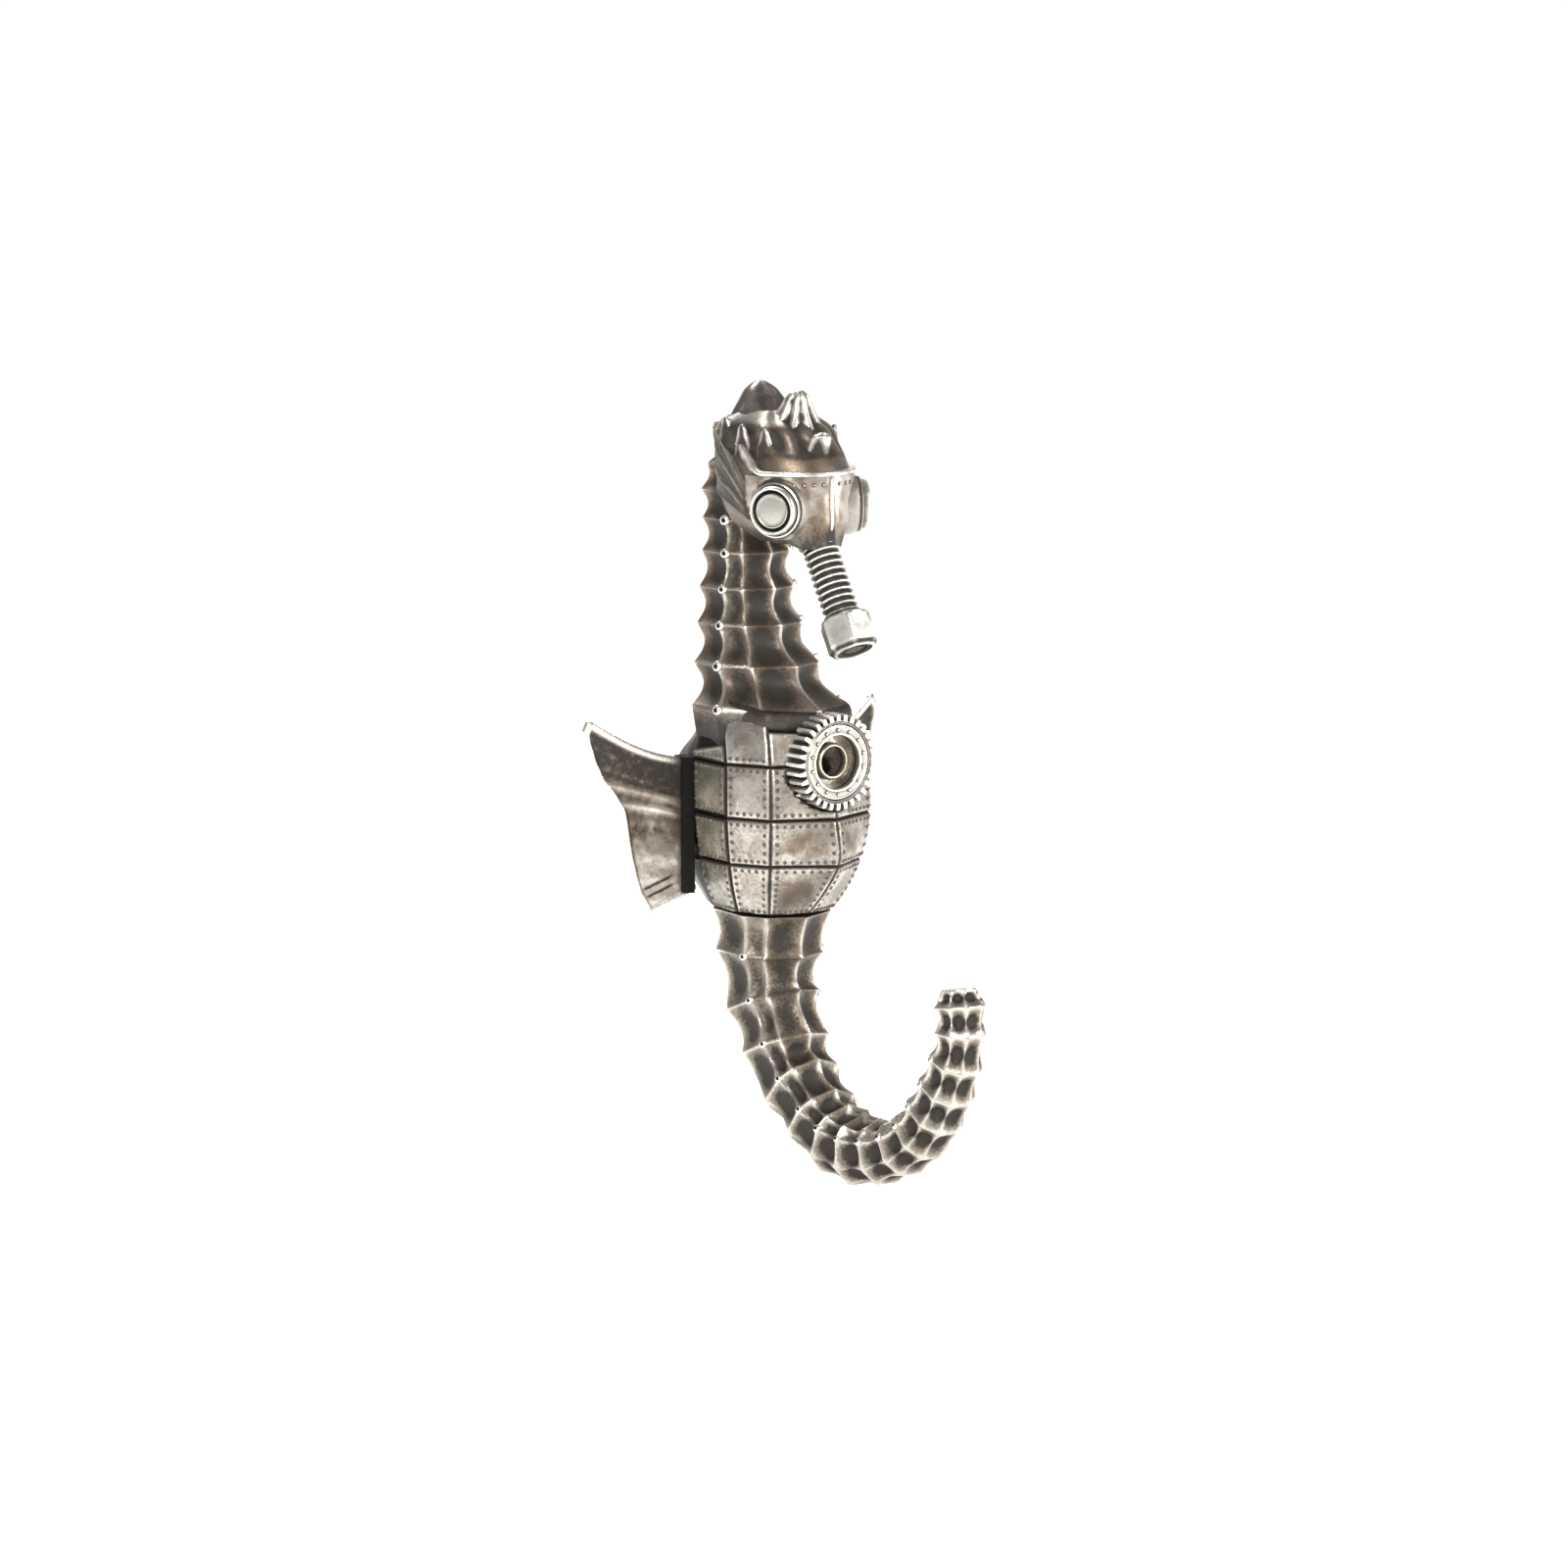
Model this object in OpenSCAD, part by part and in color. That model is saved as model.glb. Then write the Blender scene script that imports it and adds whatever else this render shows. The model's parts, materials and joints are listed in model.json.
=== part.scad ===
// Wall hook in the shape of a riveted metal seahorse, whose tail is the hook.
// X runs across the body, -Y points away from the wall and Z points up.
// The origin is on the wall, on the axis of the screw hole.
// "Forward" below is the distance from the wall, which is -Y.

/* [Screw fixing] */
// Radius of the hole that the wall screw passes through
screw_hole_r = 3.6; // [2.5:0.1:3.7]
// Radius of the cup that takes the screw's head
cup_r = 6.8; // [6:0.1:7.2]
// Depth of the cup behind the hub's face
cup_depth = 4; // [3:0.1:4.4]

/* [Gear] */
// Number of teeth on the gear ring
gear_teeth = 32; // [24:1:40]
// Radius over the tips of the teeth
gear_tip_r = 12.2; // [11.8:0.1:12.4]
// Radius at the roots of the teeth
gear_root_r = 10.6; // [10.4:0.1:11]
// Distance from the wall to the gear's front face
gear_front = 48.8; // [48.6:0.1:49.4]
// Radius of the journal that the gear ring turns on
journal_r = 8.5; // [8:0.1:8.8]
// Radial clearance between the gear ring and its journal
running_gap = 0.05; // [0.02:0.01:0.1]
// Number of studs round the hub's face
hub_stud_count = 14; // [8:1:20]

/* [Neck and tail] */
// How far the waist between two rings is cut in, as a share of the ring's radius
ring_dip = 0.09; // [0:0.01:0.15]
// Radius of the eyelet studs on the ridges
stud_r = 0.9; // [0.6:0.1:1.2]

/* [Armour] */
// Size of the inner face of the plates, as a share of the outer face
plate_inner_share = 0.945; // [0.94:0.005:0.96]
// Width of the seam between two plates
seam_gap = 0.9; // [0.5:0.1:1.2]
// Radius of the plate rivets
rivet_r = 0.6; // [0.4:0.1:0.8]

/* [Fins] */
// Thickness of a fin's blade
fin_thickness = 1.8; // [1.4:0.1:2.4]
// Angle at which a fin sweeps back towards the wall
fin_sweep = 13; // [8:1:16]

/* [Head] */
// Outer radius of a goggle
goggle_r = 6.9; // [6:0.1:7.2]
// Radius of a goggle's lens
lens_r = 4.4; // [3.8:0.1:4.6]
// Radius of the snout hose over its ribs
hose_r = 4.8; // [4.4:0.1:5]
// Number of ribs on the snout hose
hose_ribs = 10; // [6:1:12]
// Size of the hexagonal nut over its corners
nut_corner_d = 13.7; // [12.6:0.1:14.4]
// Length of the hexagonal nut
nut_length = 9.3; // [8:0.1:10]

/* [Hidden] */
$fn = 48;
rows = ["top", "upper", "lower", "bottom"];
columns = ["front", "side", "rear"];
sides = ["left", "right"];
function plate_name(row, column) = str("plates_", rows[row], "_", columns[column]);
plate_nodes = [for (row = [0:3], column = [0:2]) plate_name(row, column)];

pewter = [0.62, 0.59, 0.55];
bright_pewter = [0.8, 0.78, 0.74];
dark_pewter = [0.3, 0.27, 0.24];
black_recess = [0.12, 0.11, 0.1];

// Gear stack, as distances from the wall
pocket_floor = 42;
washer_thickness = 0.7;
face_back = 46.2;
face_front = gear_front - 0.2;
gear_back = pocket_floor + washer_thickness + 0.1;
hub_shank_r = 5.2;
hub_shank_start = 30;
face_r = 9.4;
cup_floor = face_front - cup_depth;
pocket_gap = 0.5;

// Belly outline against height: each table holds [height, size]
belly_low = -42;
belly_high = 12;
belly_keel_f = [[-42, 34.2], [-32, 44.8], [-26, 49.3], [-15, 48.5], [0, 46.9], [12, 42.4]];
belly_front_x = [[-42, 9.2], [-32, 13.2], [-20, 15.5], [0, 15], [12, 13.4]];
belly_front_f = [[-42, 32.3], [-32, 37.5], [-20, 41], [0, 40], [12, 36.1]];
belly_side_x = [[-42, 12.6], [-32, 18], [-20, 20.6], [0, 20], [6, 18.8], [12, 15.6]];
belly_side_f = [[-42, 24], [-32, 28], [-20, 29.4], [0, 28], [12, 23.5]];
belly_rear_x = [[-42, 12], [-32, 17], [-20, 19.6], [0, 19.4], [12, 19.2]];
belly_rear_f = [[-42, 14], [-20, 14.6], [12, 12]];
belly_back_x = [[-42, 4], [-36, 8.5], [-30, 12.5], [-20, 15.5], [-2, 14.6], [3, 10], [12, 9]];
belly_middle_f = 20;
core_share = 0.92;
station_step = 3;

// Heights of the lower edges of the plate rows, and of the top row's upper edge at the start
// and end of each column
row_edges = [-1, -14.5, -26.5, -40];
plate_tops = [[7, 7.9], [9.4, 10.8], [4, 1.2]];

// How far the collar drops towards the front, and where it starts
collar_drop = 2.5;
collar_start_f = 33;

// Neck: ring heights by ring number, then centre and radius by height
neck_ring_z = [[0, 12], [1, 22.3], [2, 32.1], [3, 41.1], [4, 50.1], [5, 58.4], [6, 66], [7, 74]];
neck_f = [[10, 20.2], [20, 15.5], [30, 12.2], [40, 10.6], [50, 10.2], [74, 10.4]];
neck_r = [[10, 20], [20, 16.7], [30, 13.9], [40, 12.3], [50, 11.3], [58, 10.8], [74, 9.6]];
neck_keel_share = [[12, 1.12], [30, 1], [74, 1]];
neck_top_ring = 6.75;

// Tail: distance along the centre line by ring number, then place and radius by distance
tail_ring_s = [[-0.75, -3], [0, 5.7], [1, 17.4], [2, 28.3], [3, 40.4], [4, 50], [5, 59.5], [6, 69],
    [7, 78.5], [8, 88], [9, 96], [10, 103.5], [11, 110.5], [12, 117], [13, 123], [14, 128],
    [15, 132.5], [16, 136.5], [17, 140.6]];
tail_f = [[-3, 20.8], [8.5, 20], [18.2, 21.2], [28.3, 25.7], [35.3, 28.5], [48, 37.5], [59, 46.5],
    [70.8, 57.9], [83.9, 70.9], [97.7, 83.2], [108.7, 90.5], [118.5, 95.4], [127, 98.7],
    [134.4, 98.2], [141, 97.6]];
tail_z = [[-3, -42], [8.5, -53.3], [18.2, -62.9], [28.3, -72], [35.3, -78.4], [48, -87.3], [59, -93.7],
    [70.8, -96.7], [83.9, -95.2], [97.7, -88.9], [108.7, -80.6], [118.5, -72.1], [127, -64.3],
    [134.4, -56.9], [141, -50.4]];
tail_r = [[-3, 14.5], [8.5, 13], [18.2, 11.8], [28.3, 11.3], [35.3, 11], [48, 9.9], [59, 9.7],
    [70.8, 9.4], [83.9, 8.1], [108.7, 7.5], [118.5, 6.9], [127, 6.2], [134.4, 6.2], [138, 5.4],
    [141, 3]];
stem_end_ring = 3;
hook_end_ring = 14;
tail_end_ring = 17;

// Angles of the ridges round the neck and tail, from the keel
ridge_angles = [0, 42, 66, 115, 155];
stud_angle = 66;

// Skull: rear centre, rear radius, front centre and front radius by height
skull_rear_f = [[54, 24], [57, 21], [62, 18.5], [68, 18], [84.5, 17.9], [86.5, 19]];
skull_rear_r = [[54, 6], [57, 10], [62, 13.5], [68, 14.8], [72, 15], [78, 13.6], [84.5, 11], [86.5, 6.5]];
skull_front_f = [[54, 32], [72, 31.6], [78, 29.6], [84.5, 26.4], [86.5, 24.5]];
skull_front_r = [[54, 6.5], [57, 10], [62, 12.6], [68, 13.1], [72, 13.1], [78, 11.8], [84.5, 8.5], [86.5, 6]];
skull_heights = [54, 57, 62, 68, 72, 78, 84.5, 86.5];
// The joint between head and neck slopes down towards the front
joint_slope = 35;
joint_z = 70.8;

strap_inset = 0.9;
strap_thickness = 1;

mask_back_f = 29;
mask_top = 71.4;
mask_heights = [53.2, 56, 60, 64, 68, mask_top];
mask_rear_f = [[53.2, 38], [56, 33], [60, 28], [64, 26]];
mask_rear_r = [[53.2, 4.5], [56, 8], [60, 12], [64, 14.3]];
mask_front_f = [[53.2, 40.3], [56, 37], [60, 33.6], [64, 31.8], [68, 31.6]];
mask_front_r = [[53.2, 5.6], [56, 8.6], [60, 12.6], [64, 14.2], [68, 14.3]];

goggle_at = [13.1, 39.7, 63.3];
goggle_turn = 63;
bezel_front = 2.2;
bezel_floor = 0.6;

snout_at = [0, -40.8, 54.1];
snout_tilt = 150.4;
hose_start = 1.6;
hose_end = 20.1;

fin_root = [19.2, 9.8];
fin_outline = [[0, -1.7], [9.9, 0.6], [17.7, 4], [25.8, 9.3], [27.8, 6.2], [24, -3.3], [17.7, -12.4],
    [15.2, -19.4], [14, -27.7], [11.1, -35.3], [8.9, -40], [0, -35]];
fin_tongue = 5;
fin_low = -34;
fin_high = -3;
fin_pin_r = 1;

stud_count_neck = 6;
epsilon = 0.01;

// ---- Shared geometry ----

function at(x, f, z) = [x, -f, z];

// An end of a loft: one flat face, or for a thin section, whose second half runs back
// along its first, a strip of triangles
function end_faces(n, thin) = thin
    ? [for (j = [0:n / 2 - 2]) each [[j, j + 1, n - 2 - j], [j, n - 2 - j, n - 1 - j]]]
    : [[for (j = [0:n - 1]) j]];

// Rings of points joined by walls and closed at both ends
module loft(rings, thin = false) {
    n = len(rings[0]);
    last = len(rings) - 1;
    walls = [for (i = [0:last - 1], j = [0:n - 1])
        let (a = i * n + j, b = i * n + (j + 1) % n)
        each [[a, a + n, b + n], [a, b + n, b]]];
    bottom = end_faces(n, thin);
    top = [for (face = bottom) [for (j = [len(face) - 1:-1:0]) last * n + face[j]]];
    polyhedron(points = [for (ring = rings) each ring], faces = concat(bottom, walls, top));
}

// Half an outline, from the keel round to the back, made whole by its mirror image
function whole(half) = concat(half, [for (i = [len(half) - 1:-1:1]) [-half[i][0], half[i][1]]]);

// Turned parts: a module drawn along Z is stood on the screw's axis, facing away from the wall
module along_screw(f) {
    translate([0, -f, 0])
    rotate([90, 0, 0])
    children();
}

module ring_solid(outer_r, inner_r, height) {
    difference() {
        cylinder(r = outer_r, h = height);
        translate([0, 0, -1])
        cylinder(r = inner_r, h = height + 2);
    }
}

module both_sides() {
    children();
    mirror([1, 0, 0])
    children();
}

// Space that the gear turns in
module gear_pocket() {
    along_screw(pocket_floor)
    cylinder(r = gear_tip_r + pocket_gap, h = 20);
}

// ---- Belly ----

function belly_half(z) = [
    [0, lookup(z, belly_keel_f)],
    [lookup(z, belly_front_x), lookup(z, belly_front_f)],
    [lookup(z, belly_side_x), lookup(z, belly_side_f)],
    [lookup(z, belly_rear_x), lookup(z, belly_rear_f)],
    [lookup(z, belly_back_x), 0]];

function shrunk(p, share) = [p[0] * share,
    p[1] > belly_middle_f ? belly_middle_f + (p[1] - belly_middle_f) * share : p[1]];

module belly_shape(share) {
    loft([for (z = [belly_low:station_step:belly_high])
        [for (p = whole(belly_half(z))) let (q = shrunk(p, share)) at(q[0], q[1], z)]]);
}

module belly_core() color(dark_pewter) {
    difference() {
        belly_shape(core_share);
        gear_pocket();
        along_screw(-1)
        cylinder(r = screw_hole_r, h = 60);
        along_screw(hub_shank_start)
        cylinder(r = hub_shank_r, h = 20);
        translate([0, -20, belly_high - 8])
        cylinder(r = 4, h = 20);
        translate([0, -20.5, belly_low - 5])
        cylinder(r = 4, h = 15);
        both_sides() {
            fin_slot(0);
            fin_gasket_block(0);
            fin_pin_pair();
        }
    }
}

// A point on a plate: column and share along it, height and inset
function plate_point(column, u, z, share) =
    let (half = belly_half(z), p = half[column] * (1 - u) + half[column + 1] * u, q = shrunk(p, share))
    at(q[0], q[1], z);

function row_top(row, column, u) = row == 0
    ? plate_tops[column][0] * (1 - u) + plate_tops[column][1] * u
    : row_edges[row - 1];

module armour_plate(row, column) {
    seam_u = seam_gap / 2 / (column == 1 ? 12.5 : 15);
    across = [seam_u, 0.5, 1 - seam_u];
    low = row_edges[row] + seam_gap / 2;
    along = [0:0.2:1];
    function height(u, v) = low + v * (row_top(row, column, u) - seam_gap / 2 - low);
    loft([for (v = along) concat(
        [for (u = across) plate_point(column, u, height(u, v), 1)],
        [for (i = [2:-1:0]) plate_point(column, across[i], height(across[i], v), plate_inner_share)])],
        thin = true);
}

module plate_pair(row, column) color(column == 0 ? pewter : bright_pewter) {
    difference() {
        both_sides()
        armour_plate(row, column);
        gear_pocket();
        both_sides()
        fin_gasket_block(0.2);
    }
}

module armour_rivet(column, u, z) {
    p = plate_point(column, u, z, 0.9);
    q = plate_point(column, u, z, 1);
    translate(p)
    rotate([90, 0, atan2(q[0] - p[0], p[1] - q[1])])
    cylinder(r = rivet_r, h = norm(q - p) + 0.3, $fn = 16);
}

module armour_rivets() color(dark_pewter) {
    for (row = [1:3], column = [0:1], u = [0.14, 0.86], v = [0.14, 0.86]) {
        z = row_edges[row] + v * (row_edges[row - 1] - row_edges[row]);
        if (!(column == 0 && (row == 1 || u < 0.5)))
            both_sides()
            armour_rivet(column, u, z);
    }
}

// ---- Neck and tail ----

function ridge_half(r, keel_share) = [for (a = ridge_angles)
    [r * sin(a), r * cos(a) * (a == 0 ? keel_share : 1)]];

// The waist between two rings: 1 on a ring, less between
function ripple(ring) = 1 - ring_dip * (1 - cos(360 * ring)) / 2;

function neck_section(ring) =
    let (z = lookup(ring, neck_ring_z), r = lookup(z, neck_r) * ripple(ring), f = lookup(z, neck_f))
    [for (p = whole(ridge_half(r, lookup(z, neck_keel_share)))) at(p[0], max(0, f + p[1]), z)];

module head_side() {
    translate([0, 0, joint_z])
    rotate([joint_slope, 0, 0])
    translate([-60, -120, 0])
    cube([120, 240, 80]);
}

module neck_casting() color(dark_pewter) {
    difference() {
        loft([for (ring = [0:0.25:neck_top_ring]) neck_section(ring)]);
        head_side();
        gear_pocket();
        translate([0, -20, 4])
        cylinder(r = 4, h = 16);
        head_pin_hole();
    }
}

module collar_band(share) {
    loft([for (step = [[-3.2, 0.985], [-1.8, 1.035], [0.2, 1.05], [1.8, 1.02], [2.6, 0.97]])
        [for (p = whole(belly_half(belly_high)))
            let (k = step[1] * share, f = belly_middle_f + (p[1] - belly_middle_f) * k)
            at(p[0] * k, max(0, f),
                belly_high + step[0] - collar_drop * (p[1] - belly_middle_f) / belly_middle_f)]]);
}

module collar_fold() color(black_recess) {
    difference() {
        intersection() {
            collar_band(1);
            front_of(collar_start_f);
        }
        belly_shape(1);
        loft([for (ring = [0:0.25:2]) neck_section(ring)]);
        loft([for (z = [belly_high - 5, belly_high + 5])
            [for (p = whole(belly_half(belly_high))) let (q = shrunk(p, core_share)) at(q[0], q[1], z)]]);
        gear_pocket();
    }
}

function tail_place(s) = [lookup(s, tail_f), lookup(s, tail_z)];

function tail_section(ring) =
    let (
        s = lookup(ring, tail_ring_s),
        centre = tail_place(s),
        ahead = tail_place(s + 3) - tail_place(s - 3),
        way = ahead / norm(ahead),
        r = lookup(s, tail_r) * ripple(ring))
    [for (p = whole(ridge_half(r, 1)))
        at(p[0], centre[0] - way[1] * p[1], centre[1] + way[0] * p[1])];

module tail_length(from_ring, to_ring) {
    loft([for (ring = [to_ring:-0.25:from_ring]) tail_section(ring)]);
}

module tail_stem() color(dark_pewter) {
    difference() {
        tail_length(-0.75, stem_end_ring);
        translate([-30, -60, belly_low])
        cube([60, 60, 10]);
        translate([0, -20.5, belly_low - 5])
        cylinder(r = 4, h = 15);
        tail_pin_solid(stem_end_ring);
    }
}

module tail_hook() color(pewter) {
    difference() {
        tail_length(stem_end_ring, hook_end_ring);
        tail_pin_solid(stem_end_ring);
    }
}

module tail_tip() color(bright_pewter) tail_length(hook_end_ring, tail_end_ring);

// ---- Pins that join the castings ----

module neck_pin() color(pewter)
    translate([0, -20, belly_high - 8])
    cylinder(r = 4, h = 16);

module head_pin_hole() {
    translate([0, -12, 54])
    cylinder(r = 3, h = 20);
}

module head_pin() color(pewter) head_pin_hole();

module stem_pin() color(pewter)
    translate([0, -20.5, belly_low - 5])
    cylinder(r = 4, h = 15);

module tail_pin_solid(ring) {
    s = lookup(ring, tail_ring_s);
    place = tail_place(s);
    ahead = tail_place(s + 3) - tail_place(s - 3);
    translate(at(0, place[0], place[1]))
    rotate([atan2(ahead[0], ahead[1]), 0, 0])
    translate([0, 0, -5])
    cylinder(r = 2.5, h = 10);
}

module hook_pin() color(pewter) tail_pin_solid(stem_end_ring);

// ---- Studs on the ridges ----

module eyelet_stud(depth) {
    ring_solid(stud_r, stud_r * 0.45, depth, $fn = 20);
}

module neck_studs() color(bright_pewter) {
    for (ring = [0:stud_count_neck - 1]) {
        z = lookup(ring, neck_ring_z) + (ring == 0 ? 2.4 : 0);
        r = lookup(z, neck_r);
        both_sides()
        translate(at((r - 1) * sin(stud_angle), lookup(z, neck_f) + (r - 1) * cos(stud_angle), z))
        rotate([90, 0, stud_angle])
        eyelet_stud(1.5);
    }
}

module tail_studs() color(bright_pewter) {
    for (ring = [0:hook_end_ring - 1]) {
        s = lookup(ring, tail_ring_s);
        place = tail_place(s);
        ahead = tail_place(s + 3) - tail_place(s - 3);
        if (ring != stem_end_ring)
            both_sides()
            translate(at(0, place[0], place[1]))
            rotate([90 + atan2(ahead[0], -ahead[1]), 0, 0])
            rotate([0, stud_angle, 0])
            translate([0, 0, lookup(s, tail_r) - 1])
            eyelet_stud(1.5);
    }
}

// ---- Gear on its hub ----

function gear_outline() = [for (i = [0:gear_teeth - 1])
    let (middle = i * 360 / gear_teeth, pitch = 360 / gear_teeth)
    each [for (c = [[-0.32, gear_root_r], [-0.2, gear_tip_r], [0.2, gear_tip_r], [0.32, gear_root_r]])
        c[1] * [cos(middle + c[0] * pitch), sin(middle + c[0] * pitch)]]];

module gear_ring() color(bright_pewter) {
    along_screw(gear_back)
    difference() {
        linear_extrude(gear_front - gear_back)
        polygon(gear_outline());
        translate([0, 0, -1])
        cylinder(r = journal_r + running_gap, h = 20, $fn = 96);
        translate([0, 0, face_back - gear_back - 0.1])
        cylinder(r = face_r + 0.2, h = 20, $fn = 96);
    }
}

module gear_hub() color(pewter) {
    difference() {
        union() {
            along_screw(hub_shank_start)
            cylinder(r = hub_shank_r, h = 15);
            along_screw(pocket_floor)
            cylinder(r = journal_r, h = face_back - pocket_floor, $fn = 96);
        }
        along_screw(cup_floor)
        cylinder(r = cup_r, h = 20);
        along_screw(0)
        cylinder(r = 3.8, h = 60);
    }
}

module hub_face() color(bright_pewter) {
    along_screw(face_back)
    ring_solid(face_r, cup_r, face_front - face_back);
}

module hub_studs() color(black_recess) {
    for (i = [0:hub_stud_count - 1])
        along_screw(face_front)
        rotate([0, 0, (i + 0.5) * 360 / hub_stud_count])
        translate([(face_r + cup_r) / 2, 0, 0])
        cylinder(r = 0.5, h = 0.3, $fn = 16);
}

module thrust_washer() color(dark_pewter) {
    along_screw(pocket_floor)
    ring_solid(gear_root_r - 0.2, journal_r + 0.1, washer_thickness);
}

module screw_eyelet() color(pewter) {
    along_screw(cup_floor)
    difference() {
        union() {
            cylinder(r = 4.7, h = 1.6);
            translate([0, 0, 1.6])
            cylinder(r1 = 4.7, r2 = 4.2, h = 0.6);
        }
        translate([0, 0, -1])
        cylinder(r = 3.75, h = 10);
    }
}

// ---- Head ----

// Outline of two half circles joined by straight sides, from the front round
function stadium(rear_f, rear_r, front_f, front_r, z) = [for (a = [0:15:345])
    cos(a) > -epsilon
        ? at(front_r * sin(a), front_f + front_r * cos(a), z)
        : at(rear_r * sin(a), rear_f + rear_r * cos(a), z)];

module skull_shape() {
    loft([for (z = skull_heights) stadium(lookup(z, skull_rear_f), lookup(z, skull_rear_r),
        lookup(z, skull_front_f), lookup(z, skull_front_r), z)]);
}

module mask_shape() {
    loft([for (z = mask_heights) stadium(lookup(z, mask_rear_f), lookup(z, mask_rear_r),
        lookup(z, mask_front_f), lookup(z, mask_front_r), z)]);
}

module skull_casting() color(dark_pewter) {
    intersection() {
        difference() {
            skull_shape();
            head_pin_hole();
        }
        head_side();
    }
}

module front_of(f) {
    translate([-40, -100 - f, 0])
    cube([80, 100, 100]);
}

module mask_shell() color(pewter) {
    intersection() {
        difference() {
            mask_shape();
            skull_shape();
            on_snout(hose_start)
            cylinder(r = 9, h = 10);
        }
        front_of(mask_back_f);
    }
}

module mask_rim_band() color(bright_pewter) {
    intersection() {
        difference() {
            loft([for (z = [mask_top, mask_top + 1.8]) stadium(26, 14.9, 31.6, 14.9, z)]);
            skull_shape();
        }
        front_of(mask_back_f - 2);
    }
}

module mask_rivets() color(black_recess) {
    for (a = [-40:16:40])
        translate([0, -31.6, mask_top - 1.7])
        rotate([90, 0, a])
        translate([0, 0, 13.7])
        cylinder(r = 0.5, h = 0.9, $fn = 16);
}

module nose_ridge() color(bright_pewter) {
    difference() {
        translate([-0.7, -46.5, 58])
        cube([1.4, 4, mask_top - 58.6]);
        mask_shape();
    }
}

module on_goggle(side) {
    mirror([side == "left" ? 1 : 0, 0, 0])
    translate(at(goggle_at[0], goggle_at[1], goggle_at[2]))
    rotate([90, 0, goggle_turn])
    children();
}

module goggle_bezel(side) color(bright_pewter) {
    difference() {
        on_goggle(side)
        difference() {
            union() {
                translate([0, 0, -5])
                cylinder(r = goggle_r, h = 5 + bezel_front - 0.8);
                translate([0, 0, bezel_front - 0.8])
                cylinder(r1 = goggle_r, r2 = goggle_r - 0.8, h = 0.8);
            }
            translate([0, 0, bezel_floor])
            cylinder(r = 5.6, h = 10);
        }
        mask_shape();
        skull_shape();
    }
}

module goggle_seal(side) color(black_recess) {
    on_goggle(side)
    translate([0, 0, bezel_floor])
    ring_solid(5.6, lens_r + 0.1, 1);
}

module goggle_lens(side) color(bright_pewter) {
    on_goggle(side)
    translate([0, 0, bezel_floor])
    union() {
        cylinder(r = lens_r, h = 1.4);
        translate([0, 0, 1.4])
        cylinder(r1 = lens_r, r2 = lens_r - 1, h = 0.5);
    }
}

// Half-width of the skull at one distance from the wall and one height
function skull_half_width(f, z) =
    let (
        rear = lookup(z, skull_rear_f), rear_r = lookup(z, skull_rear_r),
        front = lookup(z, skull_front_f), front_r = lookup(z, skull_front_r))
    f < rear ? sqrt(max(0, rear_r * rear_r - (rear - f) * (rear - f)))
        : rear_r + (front_r - rear_r) * (f - rear) / (front - rear);

module head_strap(index) {
    start_z = 65.4 - 2.2 * index;
    end_z = [82, 76.5, 70][index];
    loft([for (t = [0:0.125:1])
        let (f = mask_back_f - 0.4 - 21 * t, z = start_z + (end_z - start_z) * t,
            half = 0.8 + 1.5 * t, high = z + half, low = z - half)
        [
            at(skull_half_width(f, high) + strap_inset, f, high),
            at(skull_half_width(f, high) + strap_inset + strap_thickness, f, high),
            at(skull_half_width(f, low) + strap_inset + strap_thickness, f, low),
            at(skull_half_width(f, low) + strap_inset, f, low)]],
        thin = true);
}

module head_straps(side) color(pewter) {
    mirror([side == "left" ? 1 : 0, 0, 0])
    for (index = [0:2])
        head_strap(index);
}

module on_snout(distance) {
    translate(snout_at)
    rotate([snout_tilt, 0, 0])
    translate([0, 0, distance])
    children();
}

module snout_collar() color(dark_pewter) {
    difference() {
        on_snout(-2.5)
        cylinder(r = 5.4, h = hose_start + 2.5);
        mask_shape();
    }
}

module snout_hose() color(pewter) {
    rib = (hose_end - hose_start) / hose_ribs;
    on_snout(hose_start)
    rotate_extrude()
    polygon(concat(
        [[0, 0]],
        [for (i = [0:hose_ribs - 1])
            each [[hose_r - 1.1, i * rib], [hose_r - 1.1, (i + 0.3) * rib], [hose_r, (i + 0.42) * rib],
                [hose_r, (i + 0.78) * rib], [hose_r - 1.1, (i + 0.9) * rib]]],
        [[hose_r - 1.1, hose_end - hose_start], [0, hose_end - hose_start]]));
}

module snout_nut() color(bright_pewter) {
    on_snout(hose_end)
    difference() {
        intersection() {
            linear_extrude(nut_length)
            circle(d = nut_corner_d, $fn = 6);
            rotate_extrude()
            polygon([[0, 0], [nut_corner_d / 2 - 1.1, 0], [nut_corner_d / 2, 1.1],
                [nut_corner_d / 2, nut_length - 1.4], [nut_corner_d / 2 - 1.1, nut_length], [0, nut_length]]);
        }
        translate([0, 0, nut_length - 1.2])
        cylinder(r = 4.4, h = 5);
    }
}

module snout_cap() color(black_recess) {
    on_snout(hose_end + nut_length - 1.2)
    cylinder(r = 4.4, h = 0.8);
}

// ---- Crown ----

// A horn that narrows and leans as it rises
module horn(x, f, z, base_r, tip_r, height, lean_forward = 0, lean_out = 0) {
    loft([for (t = [0, 0.35, 0.65, 0.88, 1])
        let (r = base_r + (tip_r - base_r) * (t < 1 ? t / 0.88 : 1.35))
        [for (a = [0:30:330])
            at(x + lean_out * t + r * sin(a), f + lean_forward * t + r * cos(a), z + height * t)]]);
}

module crown_horn_shape() horn(0, 18.5, 80, 9, 2.6, 13.3, -2.6);

module fluted_horn_shape() horn(0, 30, 79, 7.4, 2.4, 13.4, 2.6);

module crown_horn() color(dark_pewter) {
    difference() {
        crown_horn_shape();
        skull_shape();
    }
}

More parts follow.
